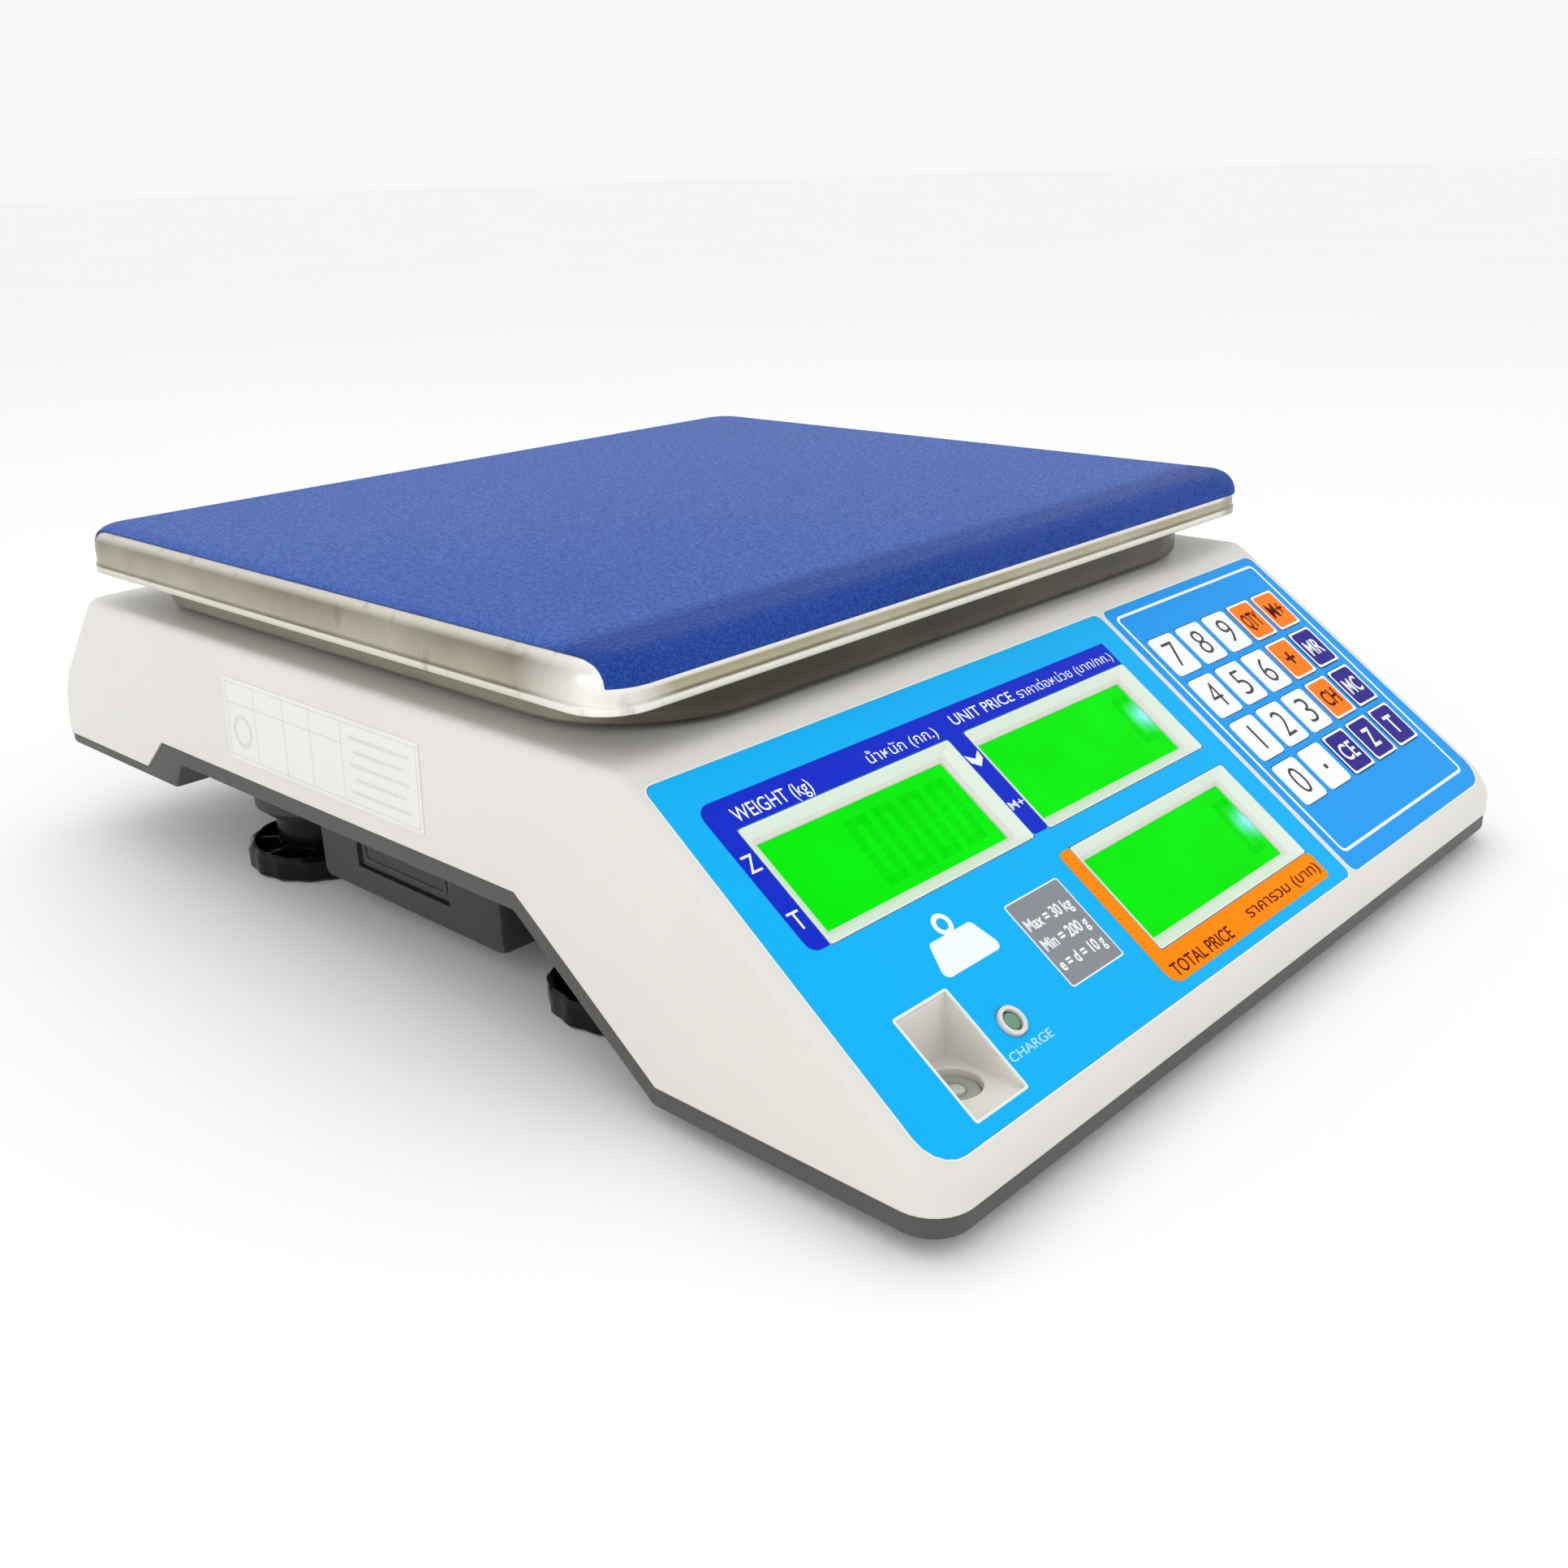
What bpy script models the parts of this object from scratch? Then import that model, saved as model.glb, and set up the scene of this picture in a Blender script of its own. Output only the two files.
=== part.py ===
"""Price-computing counter scale, modelled as separate pieces at real size.

Frame: metres, +Z up, the operator looks along +Y, origin under the middle of
the scale on the surface that it stands on.
"""

import math

import bmesh
import bpy
from mathutils import Matrix, Vector

# ---- driving dimensions ----------------------------------------------------
GAP = 0.0003                  # clearance between pieces that touch
WALL = 0.0025                 # plastic wall of both housings

DECK_Z = 0.0885               # flat top of the upper housing
DECK_WIDTH = 0.298
SIDE_DRAFT = 0.039            # widening of each side wall per metre downwards
EDGE_Y = -0.0991              # edge between the deck and the sloped panel
PANEL_ANGLE = math.radians(35.5)
PANEL_LENGTH = 0.1205
PANEL_WALL = 0.004
FRONT_CORNER = 0.011          # plan radius of the two front corners
REAR_CORNER = 0.008
EDGE_ROUND = 0.003

SPLIT_FRONT_Z = 0.0112        # parting line of the two housings
SPLIT_MID_Z = 0.0474
SPLIT_REAR_Z = 0.0366
STEP_LOW_Y = EDGE_Y - 0.0118   # where the steep part of the parting line starts
STEP_HIGH_Y = EDGE_Y + 0.0391
NOTCH_HIGH_Y = EDGE_Y + 0.222
NOTCH_LOW_Y = EDGE_Y + 0.234
BAND = 0.0061                 # height of the grey band under the parting line
FLOOR = 0.0025

PAN_WIDTH = 0.300
PAN_FRONT_Y = EDGE_Y - 0.0011
PAN_REAR_Y = EDGE_Y + 0.2583
PAN_TOP_Z = 0.1137
PAN_RIM_Z = 0.1003
PAN_BEND = 0.0065             # radius of the bend between top and flange
PAN_CORNER = 0.013
PAN_SHEET = 0.0012
HEM_HEIGHT = 0.0028
HEM_OUT = 0.0005
FILM = 0.0004
FILM_WRAP = 0.0068            # how far the film reaches down the flange
FILM_LEFT_X = -0.1462

CARRIER_WIDTH = 0.276
CARRIER_DEPTH = 0.249
CARRIER_CORNER = 0.038
CARRIER_LOW_Z = 0.0902
CARRIER_TOP_Z = 0.1080
CARRIER_SHEET = 0.0015

CELL_LENGTH = 0.130
CELL_WIDTH = 0.030
CELL_LOW_Z = 0.0528
CELL_HEIGHT = 0.022
BOLT_RADIUS = 0.0029
BOLT_HOLE = 0.0032
BOLT_HEAD_RADIUS = 0.005

FRAME_LOW_Z = 0.0455
FRAME_THICK = 0.004
FOOT_X = 0.110
FOOT_FRONT_Y = EDGE_Y + 0.0416
FOOT_REAR_Y = EDGE_Y + 0.1999
KNOB_RADIUS = 0.0248
KNOB_HEIGHT = 0.0085
CUP_RADIUS = 0.0226           # hollow in the top of the knob, crossed by webs
CUP_FLOOR_Z = 0.0030
WEBS = 8
WEB_THICK = 0.0014
STUD_RADIUS = 0.00525
STUD_TOP_Z = 0.0600
NECK_RADIUS = 0.0145          # wide part of the stud, just over the knob
NECK_TOP_Z = 0.0186
NECK_BORE = 0.0152
NECK_BORE_TOP_Z = 0.0280
COLLAR_RADIUS = 0.0205        # round boss of the housing over each foot
COLLAR_LIP = 0.0168
COLLAR_LOW_Z = 0.0190
COLLAR_CHAMFER_Z = 0.0222

WINDOW_W = 0.0797             # frame round each display
WINDOW_H = 0.0345
VIEW_W = 0.0710               # part of the display that shows
VIEW_H = 0.0270
WINDOW_DEPTH = 0.0034
# Windows: name, centre across, centre down the slope from the deck edge.
WINDOWS = (
    ("weight_lcd", -0.0899, 0.0435),
    ("unit_price_lcd", -0.0025, 0.0433),
    ("total_price_lcd", -0.0022, 0.0856),
)

OVERLAY_TOP = 0.0067
OVERLAY_END = 0.1159
OVERLAY_HALF = 0.1447         # half width of the two overlays at the deck edge
OVERLAY_SLANT = 0.028         # widening of each side per metre down the slope
DIVIDER_X = 0.0482
DIVIDER = 0.0016
OVERLAY_THICK = 0.0004
OVERLAY_POCKET = 0.0007
OVERLAY_CORNER = 0.009

KEY_W = 0.0141
KEY_H = 0.0157
KEY_PITCH_X = 0.0167
KEY_PITCH_S = 0.0182
KEY_FIRST_X = 0.0561
KEY_FIRST_S = 0.0220
KEY_PROUD = 0.0003
KEY_UNDER = 0.0006
KEY_POCKET = 0.0026
# Rows of the keypad from the top, left to right.
KEYS = (
    ("7", "8", "9", "quantity", "memory_add"),
    ("4", "5", "6", "plus", "memory_recall"),
    ("1", "2", "3", "change", "memory_clear"),
    ("0", "point", "clear", "zero", "tare"),
)

LEVEL_X0 = -0.1300
LEVEL_X1 = -0.1117
LEVEL_S0 = 0.0835
LEVEL_S1 = 0.1112
LEVEL_FLOOR_Z = 0.0232
LEVEL_BLOCK_Z = 0.0147        # underside of the block that holds the vial
VIAL_RADIUS = 0.0066
VIAL_X = -0.1202
VIAL_Y = EDGE_Y - 0.0767
LED_X = -0.1017
LED_S = 0.0975
LED_RADIUS = 0.0025
BEZEL_RADIUS = 0.0039

BOX_X0 = -0.131               # battery box under the left side
BOX_X1 = -0.0245
BOX_Y0 = EDGE_Y + 0.0735
BOX_Y1 = EDGE_Y + 0.1655
BOX_LOW_Z = 0.0095
BOX_WALL = 0.0022
DOOR_Y0 = EDGE_Y + 0.097
DOOR_Y1 = EDGE_Y + 0.144
DOOR_LOW_Z = 0.0185
DOOR_TOP_Z = 0.0405

SWITCH_X = 0.1258             # rocker under the right side
SWITCH_Y = EDGE_Y + 0.144
SWITCH_W = 0.0130
SWITCH_L = 0.0190
SWITCH_TILT = math.radians(6.0)
INLET_X = 0.100
INLET_Z = 0.043

REAR_SLOPE_DROP = 0.030       # height of the leaning part of the rear wall
REAR_SLOPE_RUN = 0.0258
REAR_WINDOWS = (-0.078, 0.0, 0.078)

HALF_PI = math.pi / 2
PAN_MID_Y = (PAN_FRONT_Y + PAN_REAR_Y) / 2
FRONT_Y = EDGE_Y - PANEL_LENGTH * math.cos(PANEL_ANGLE)
REAR_Y = -FRONT_Y
REAR_TOP_Y = REAR_Y - 0.0303


# ---- scene and materials ---------------------------------------------------
def clear_scene():
    for item in list(bpy.data.objects):
        bpy.data.objects.remove(item, do_unlink=True)


def material(name, colour, roughness, metallic=0.0):
    mat = bpy.data.materials.new(name)
    mat.use_nodes = True
    shader = mat.node_tree.nodes["Principled BSDF"]
    shader.inputs["Base Color"].default_value = (*colour, 1.0)
    shader.inputs["Roughness"].default_value = roughness
    shader.inputs["Metallic"].default_value = metallic
    mat.diffuse_color = (*colour, 1.0)
    return mat


def make_materials():
    return {
        "white_plastic": material("white_plastic", (0.80, 0.79, 0.75), 0.35),
        "grey_plastic": material("grey_plastic", (0.09, 0.095, 0.10), 0.55),
        "black_plastic": material("black_plastic", (0.015, 0.015, 0.018), 0.45),
        "steel": material("steel", (0.62, 0.60, 0.55), 0.30, 1.0),
        "aluminium": material("aluminium", (0.72, 0.72, 0.74), 0.35, 1.0),
        "zinc_steel": material("zinc_steel", (0.55, 0.56, 0.58), 0.40, 1.0),
        "blue_film": material("blue_film", (0.035, 0.075, 0.36), 0.50),
        "sky_overlay": material("sky_overlay", (0.02, 0.38, 0.85), 0.35),
        "lcd_green": material("lcd_green", (0.02, 0.85, 0.03), 0.20),
        "board_green": material("board_green", (0.03, 0.20, 0.07), 0.50),
        "key_white": material("key_white", (0.85, 0.87, 0.88), 0.35),
        "key_orange": material("key_orange", (0.95, 0.25, 0.02), 0.35),
        "key_navy": material("key_navy", (0.04, 0.04, 0.30), 0.35),
        "rubber": material("rubber", (0.02, 0.02, 0.02), 0.80),
        "clear_acrylic": material("clear_acrylic", (0.55, 0.75, 0.60), 0.10),
        "battery_grey": material("battery_grey", (0.12, 0.12, 0.13), 0.50),
    }


# ---- mesh helpers ----------------------------------------------------------
def add_object(name, mesh, mat=None, parent=None):
    item = bpy.data.objects.new(name, mesh)
    bpy.context.scene.collection.objects.link(item)
    if mat is not None:
        mesh.materials.append(mat)
    if parent is not None:
        item.parent = parent
    return item


def mesh_from_bmesh(name, bm):
    bmesh.ops.recalc_face_normals(bm, faces=bm.faces)
    mesh = bpy.data.meshes.new(name)
    bm.to_mesh(mesh)
    bm.free()
    return mesh


def rounded_rect(x0, x1, y0, y1, front, rear, segments=6):
    """Outline seen from above, with one radius in front and one behind."""
    corners = (
        (x1 - front, y0 + front, front, -HALF_PI),
        (x1 - rear, y1 - rear, rear, 0.0),
        (x0 + rear, y1 - rear, rear, HALF_PI),
        (x0 + front, y0 + front, front, math.pi),
    )
    points = []
    for cx, cy, radius, start in corners:
        for step in range(segments + 1):
            angle = start + HALF_PI * step / segments
            points.append((cx + radius * math.cos(angle), cy + radius * math.sin(angle)))
    return points


def circle(cx, cy, radius, count=24):
    turn = 2 * math.pi / count
    return [(cx + radius * math.cos(turn * i), cy + radius * math.sin(turn * i)) for i in range(count)]


def at_height(outline, z):
    return [Vector((x, y, z)) for x, y in outline]


def bridge(bm, low, high):
    count = len(low)
    for i in range(count):
        j = (i + 1) % count
        bm.faces.new((low[i], low[j], high[j], high[i]))


def loft(name, loops, mat=None, parent=None):
    """Closed solid through loops of equal length, from the lowest to the highest."""
    bm = bmesh.new()
    rings = [[bm.verts.new(point) for point in loop] for loop in loops]
    for low, high in zip(rings, rings[1:]):
        bridge(bm, low, high)
    bm.faces.new(list(reversed(rings[0])))
    bm.faces.new(rings[-1])
    return add_object(name, mesh_from_bmesh(name, bm), mat, parent)


def tray(name, outer, inner, mat):
    """Inverted tray: the first loops meet at the rim and the last loops are capped."""
    bm = bmesh.new()
    out = [[bm.verts.new(point) for point in loop] for loop in outer]
    ins = [[bm.verts.new(point) for point in loop] for loop in inner]
    for rings in (out, ins):
        for low, high in zip(rings, rings[1:]):
            bridge(bm, low, high)
        bm.faces.new(rings[-1])
    bridge(bm, out[0], ins[0])
    return add_object(name, mesh_from_bmesh(name, bm), mat)


def plate(name, outline, z0, z1, mat=None, parent=None):
    return loft(name, (at_height(outline, z0), at_height(outline, z1)), mat, parent)


def box(name, low, high, mat=None, parent=None):
    outline = [(low[0], low[1]), (high[0], low[1]), (high[0], high[1]), (low[0], high[1])]
    return plate(name, outline, low[2], high[2], mat, parent)


def prism(name, profile, half_width=0.2):
    """Profile in the YZ plane, extruded across the scale."""
    left = [Vector((-half_width, y, z)) for y, z in profile]
    right = [Vector((half_width, y, z)) for y, z in profile]
    return loft(name, (left, right))


def combine(target, tools, operation="DIFFERENCE"):
    """Apply Boolean cuts or joins to the target and remove the tools."""
    for tool in tools:
        tool.hide_render = True
        tool.display_type = "WIRE"
        cut = target.modifiers.new("cut", "BOOLEAN")
        cut.operation = operation
        cut.solver = "EXACT"
        cut.object = tool
        bpy.context.view_layer.update()
        depsgraph = bpy.context.evaluated_depsgraph_get()
        mesh = bpy.data.meshes.new_from_object(target.evaluated_get(depsgraph))
        target.modifiers.clear()
        target.data = mesh
        bpy.data.objects.remove(tool, do_unlink=True)
    return target


def round_edges(item, width, segments, keep):
    """Round the sharp edges for which keep(edge) is true."""
    bm = bmesh.new()
    bm.from_mesh(item.data)
    bmesh.ops.remove_doubles(bm, verts=bm.verts, dist=1e-6)
    sharp = [e for e in bm.edges if e.is_manifold and e.calc_face_angle() > 0.35 and keep(e)]
    bmesh.ops.bevel(bm, geom=sharp, offset=width, segments=segments, profile=0.5,
                    affect="EDGES", clamp_overlap=True)
    bmesh.ops.remove_doubles(bm, verts=bm.verts, dist=1e-6)
    bm.to_mesh(item.data)
    bm.free()


def soften(item, width, segments=2):
    bevel = item.modifiers.new("bevel", "BEVEL")
    bevel.width = width
    bevel.segments = segments
    bevel.limit_method = "ANGLE"
    bevel.angle_limit = math.radians(40)


def smooth(item, angle=30):
    item.data.shade_smooth()
    item.data.set_sharp_from_angle(angle=math.radians(angle))


def empty(name, location, rotation=(0.0, 0.0, 0.0)):
    item = bpy.data.objects.new(name, None)
    bpy.context.scene.collection.objects.link(item)
    item.location = location
    item.rotation_euler = rotation
    return item


# ---- housings --------------------------------------------------------------
def half_width(z):
    return DECK_WIDTH / 2 + SIDE_DRAFT * (DECK_Z - z)


def rear_wall():
    """Height and place of the rear wall, from the bottom up."""
    return (
        (-0.03, REAR_Y),
        (DECK_Z - 0.046, REAR_Y),
        (DECK_Z - 0.037, REAR_Y - 0.0013),
        (DECK_Z - REAR_SLOPE_DROP, REAR_TOP_Y + REAR_SLOPE_RUN),
        (DECK_Z, REAR_TOP_Y),
        (DECK_Z + REAR_SLOPE_DROP, REAR_TOP_Y - REAR_SLOPE_RUN),
    )


def plan_solid(name, inset):
    """Plan outline of the housings with its side draft and leaning rear wall."""
    loops = []
    for z, rear in rear_wall():
        side = half_width(z) - inset
        outline = rounded_rect(-side, side, FRONT_Y + inset, rear - inset,
                               FRONT_CORNER - inset, REAR_CORNER - inset, 8)
        loops.append(at_height(outline, z))
    return loft(name, loops)


def split_line(drop):
    """Parting line from the front to the rear, lowered by drop."""
    return [
        (STEP_LOW_Y, SPLIT_FRONT_Z - drop),
        (STEP_HIGH_Y, SPLIT_MID_Z - drop),
        (NOTCH_HIGH_Y, SPLIT_MID_Z - drop),
        (NOTCH_LOW_Y, SPLIT_REAR_Z - drop),
    ]


def bottom_line(lift):
    """Underside of the lower housing from the front to the rear, raised by lift."""
    back = 0.72 * lift
    return [
        (STEP_LOW_Y + 0.0018 - back, SPLIT_FRONT_Z - BAND + lift),
        (STEP_HIGH_Y + 0.0018 - back, SPLIT_MID_Z - BAND + lift),
        (NOTCH_HIGH_Y - 0.010 + back, SPLIT_MID_Z - BAND + lift),
        (NOTCH_HIGH_Y - 0.005 + back, SPLIT_REAR_Z - 0.0041 + lift),
    ]


def panel_height(y, depth=0.0):
    """Height of the sloped panel at y, for a plane set back by depth."""
    return DECK_Z + (y - EDGE_Y) * math.tan(PANEL_ANGLE) - depth / math.cos(PANEL_ANGLE)


def upper_shell(mats):
    near, far = FRONT_Y - 0.009, 0.25
    profile = [(near, SPLIT_FRONT_Z)] + split_line(0.0) + [
        (far, SPLIT_REAR_Z), (far, DECK_Z), (EDGE_Y, DECK_Z), (near, panel_height(near)),
    ]
    shell = prism("upper_housing", profile)
    combine(shell, [plan_solid("plan", 0.0)], "INTERSECT")
    shell.data.materials.clear()
    shell.data.materials.append(mats["white_plastic"])
    round_edges(shell, EDGE_ROUND, 3, lambda e: all(f.normal.z > -0.2 for f in e.link_faces))

    ceiling = DECK_Z - WALL
    turn_y = EDGE_Y + (PANEL_WALL / math.cos(PANEL_ANGLE) - WALL) / math.tan(PANEL_ANGLE)
    front = FRONT_Y + WALL - 0.001
    inner = [(front, -0.02), (far, -0.02), (far, ceiling), (turn_y, ceiling),
             (front, panel_height(front, PANEL_WALL))]
    hollow = prism("hollow", inner)
    combine(hollow, [plan_solid("plan", WALL)], "INTERSECT")
    combine(shell, [hollow])
    return shell


def overlay_outline(sign, inset):
    """Outline of one overlay in panel coordinates; y runs up the slope.

    The outer side follows the slanted housing wall; sign is -1 for the left one.
    """
    inner = sign * DIVIDER_X + DIVIDER / 2 + inset
    outer = OVERLAY_HALF - inset
    y0, y1 = -OVERLAY_END + inset, -OVERLAY_TOP - inset
    small = 0.003
    corners = (
        (outer, y0, -1, 1, OVERLAY_CORNER, -HALF_PI),
        (outer, y1, -1, -1, small, 0.0),
        (inner, y1, 1, -1, small, HALF_PI),
        (inner, y0, 1, 1, small, math.pi),
    )
    points = []
    for cx, cy, sx, sy, radius, start in corners:
        for step in range(7):
            angle = start + HALF_PI * step / 6
            x = cx + sx * radius + radius * math.cos(angle)
            y = cy + sy * radius + radius * math.sin(angle)
            slant = OVERLAY_SLANT * y if sx < 0 else 0.0
            points.append((sign * (x - slant), y))
    return points[::sign]


def display_outline(inset=0.0):
    return overlay_outline(-1, inset)


def keypad_outline(inset=0.0):
    return overlay_outline(1, inset)


def window_rect(x, s, width, height):
    return [(x - width / 2, -s - height / 2), (x + width / 2, -s - height / 2),
            (x + width / 2, -s + height / 2), (x - width / 2, -s + height / 2)]


def window_cutter(x, s, parent):
    """Opening that narrows from the frame down to the part of the display that shows."""
    wide = window_rect(x, s, WINDOW_W, WINDOW_H)
    wider = window_rect(x, s, WINDOW_W + 0.0005, WINDOW_H + 0.0005)
    view = window_rect(x, s, VIEW_W, VIEW_H)
    loops = (at_height(view, -0.006), at_height(view, -WINDOW_DEPTH + 0.0004),
             at_height(wide, -0.0005), at_height(wider, 0.003))
    return loft("window", loops, None, parent)


def level_pocket_parts():
    """Walls of the spirit level's pocket, the pocket itself and the vial's seat."""
    y0 = EDGE_Y - LEVEL_S1 * math.cos(PANEL_ANGLE)
    y1 = EDGE_Y - LEVEL_S0 * math.cos(PANEL_ANGLE)
    t = 0.002
    near = y0 + t / 2
    wall = [(near, LEVEL_BLOCK_Z), (y1 + t, LEVEL_BLOCK_Z),
            (y1 + t, panel_height(y1 + t, t)), (near, panel_height(near, t))]
    loops = [[Vector((x, y, z)) for y, z in wall] for x in (LEVEL_X0 - t, LEVEL_X1 + t)]
    walls = loft("level_walls", loops)
    pocket = box("level_pocket", (LEVEL_X0, y0, LEVEL_FLOOR_Z), (LEVEL_X1, y1, 0.07))
    bore = circle(VIAL_X, VIAL_Y, VIAL_RADIUS + GAP)
    dish = circle(VIAL_X, VIAL_Y, VIAL_RADIUS + 0.0006)
    seat = loft("vial_seat", (at_height(bore, 0.0155 - GAP), at_height(bore, LEVEL_FLOOR_Z - 0.0004),
                              at_height(dish, LEVEL_FLOOR_Z), at_height(dish, 0.03)))
    return walls, pocket, seat


def make_upper_housing(mats, panel, rear):
    shell = upper_shell(mats)
    walls, pocket, seat = level_pocket_parts()
    combine(shell, [walls], "UNION")
    cutters = [
        plate("display_pocket", display_outline(), -OVERLAY_POCKET, 0.004, None, panel),
        plate("keypad_pocket", keypad_outline(), -OVERLAY_POCKET, 0.004, None, panel),
        pocket, seat,
        plate("led_hole", circle(LED_X, -LED_S, LED_RADIUS + 0.0008), -0.008, 0.004, None, panel),
        box("key_pocket", (KEY_FIRST_X - 0.003, -0.0965, -KEY_POCKET),
            (KEY_FIRST_X + 4 * KEY_PITCH_X + KEY_W + 0.003, -0.018, 0.004), None, panel),
        box("post_opening", (-0.022, PAN_MID_Y + 0.028, 0.080), (0.022, PAN_MID_Y + 0.072, 0.095)),
        box("inlet_opening", (INLET_X - 0.0048, REAR_Y - 0.006, INLET_Z - 0.0051),
            (INLET_X + 0.0048, REAR_Y + 0.01, INLET_Z + 0.0051)),
        box("rear_pocket", (-0.1253, -0.0343, -OVERLAY_POCKET), (0.1253, -0.0047, 0.004), None, rear),
    ]
    cutters += [window_cutter(x, s, panel) for _, x, s in WINDOWS]
    for x in REAR_WINDOWS:
        cutters.append(box("rear_window", (x - 0.030, -0.0300, -0.005), (x + 0.030, -0.0100, 0.004),
                           None, rear))
    combine(shell, cutters)
    smooth(shell)
    return shell


def make_lower_housing(mats):
    far = 0.25
    near = FRONT_Y - 0.02
    top = [(near, SPLIT_FRONT_Z - 0.0004)] + split_line(0.0004) + [(far, SPLIT_REAR_Z - 0.0004)]
    low = [(near, SPLIT_FRONT_Z - BAND)] + bottom_line(0.0) + [(far, SPLIT_REAR_Z - 0.0041)]
    shell = prism("lower_housing", low + top[::-1])
    combine(shell, [plan_solid("plan", 0.0006)], "INTERSECT")
    round_edges(shell, 0.0012, 2, lambda e: any(f.normal.z < -0.2 for f in e.link_faces)
                and all(f.normal.z < 0.5 for f in e.link_faces))
    shell.data.materials.clear()
    shell.data.materials.append(mats["grey_plastic"])

    floor = [(near, SPLIT_FRONT_Z - BAND + FLOOR)] + bottom_line(FLOOR)
    floor += [(far, SPLIT_REAR_Z - 0.0041 + FLOOR), (far, 0.10), (near, 0.10)]
    hollow = prism("hollow", floor)
    combine(hollow, [plan_solid("plan", 0.003)], "INTERSECT")
    combine(shell, [hollow])

    feet = [(x, y) for x in (-FOOT_X, FOOT_X) for y in (FOOT_FRONT_Y, FOOT_REAR_Y)]
    bosses = [plate("boss", circle(x, y, 0.0095), SPLIT_MID_Z - BAND, FRAME_LOW_Z - GAP) for x, y in feet]
    for x, y in feet:
        collar = (at_height(circle(x, y, COLLAR_LIP, 32), COLLAR_LOW_Z),
                  at_height(circle(x, y, COLLAR_RADIUS, 32), COLLAR_CHAMFER_Z),
                  at_height(circle(x, y, COLLAR_RADIUS, 32), SPLIT_MID_Z - BAND + 0.001))
        bosses.append(loft("collar", collar))
    posts = [plate("post", circle(x, y, 0.003, 12), 0.0070, 0.0130)
             for x in (0.0, 0.110) for y in (EDGE_Y - 0.071, EDGE_Y - 0.026)]
    bay = box("bay", (BOX_X0, BOX_Y0, BOX_LOW_Z), (BOX_X1, BOX_Y1, SPLIT_MID_Z - BAND + FLOOR))
    round_edges(bay, 0.0025, 2, lambda e: min(v.co.z for v in e.verts) < 0.04)
    combine(shell, bosses + posts + [bay], "UNION")

    cutters = [plate("stud_hole", circle(x, y, STUD_RADIUS + 0.0005), 0.02, 0.05) for x, y in feet]
    cutters += [plate("neck_bore", circle(x, y, NECK_BORE), 0.01, NECK_BORE_TOP_Z) for x, y in feet]
    cutters += [
        box("bay_inside", (BOX_X0 + BOX_WALL, BOX_Y0 + BOX_WALL, BOX_LOW_Z + BOX_WALL),
            (BOX_X1 - BOX_WALL, BOX_Y1 - BOX_WALL, 0.06)),
        box("door_opening", (BOX_X0 - 0.01, DOOR_Y0, DOOR_LOW_Z),
            (BOX_X0 + BOX_WALL + 0.001, DOOR_Y1, DOOR_TOP_Z)),
        box("switch_opening", (SWITCH_X - SWITCH_W / 2 - 0.001, SWITCH_Y - SWITCH_L / 2 - 0.0015, 0.03),
            (SWITCH_X + SWITCH_W / 2 + 0.001, SWITCH_Y + SWITCH_L / 2 + 0.0015, 0.05)),
    ]
    combine(shell, cutters)
    smooth(shell)
    return shell


# ---- weighing train --------------------------------------------------------
def pan_loop(inset, z, out=0.0):
    """Loop of the pan's outline, inset by the bend and grown by out."""
    shift = out - inset
    side = PAN_WIDTH / 2 - HEM_OUT + shift
    radius = PAN_CORNER + shift
    front = PAN_FRONT_Y + HEM_OUT - shift
    rear = PAN_REAR_Y - HEM_OUT + shift
    return at_height(rounded_rect(-side, side, front, rear, radius, radius, 6), z)


def bend_loops(offset, lowest, steps=6):
    """Loops up the flange and round the bend, on a surface offset outwards."""
    centre_z = PAN_TOP_Z - PAN_BEND
    radius = PAN_BEND + offset
    loops = [pan_loop(0.0, lowest, offset)] if lowest < centre_z else []
    for step in range(steps + 1):
        angle = HALF_PI * step / steps
        loops.append(pan_loop(PAN_BEND - radius * math.cos(angle), centre_z + radius * math.sin(angle)))
    return loops


def make_pan(mats):
    hem_z = PAN_RIM_Z + HEM_HEIGHT
    outer = [pan_loop(0.0, PAN_RIM_Z, HEM_OUT), pan_loop(0.0, hem_z - 0.0006, HEM_OUT)]
    outer += bend_loops(0.0, hem_z)
    inner = [pan_loop(0.0, PAN_RIM_Z, -PAN_SHEET)] + bend_loops(-PAN_SHEET, hem_z)
    pan = tray("weighing_pan", outer, inner, mats["steel"])
    smooth(pan)
    return pan


def make_film(mats):
    lowest = PAN_TOP_Z - FILM_WRAP
    film = tray("pan_film", bend_loops(GAP + FILM, lowest), bend_loops(GAP, lowest), mats["blue_film"])
    combine(film, [box("left_cut", (-0.2, -0.2, 0.08), (FILM_LEFT_X, 0.3, 0.13))])
    smooth(film)
    return film


def carrier_loop(inset, z):
    side = CARRIER_WIDTH / 2 - inset
    half = CARRIER_DEPTH / 2 - inset
    radius = CARRIER_CORNER - inset
    return at_height(rounded_rect(-side, side, PAN_MID_Y - half, PAN_MID_Y + half, radius, radius, 7), z)


def free_end_bolts():
    end = PAN_MID_Y + CELL_LENGTH / 2
    return (end - 0.0225, end - 0.0080)


def fixed_end_bolts():
    end = PAN_MID_Y - CELL_LENGTH / 2
    return (end + 0.0080, end + 0.0225)


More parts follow.
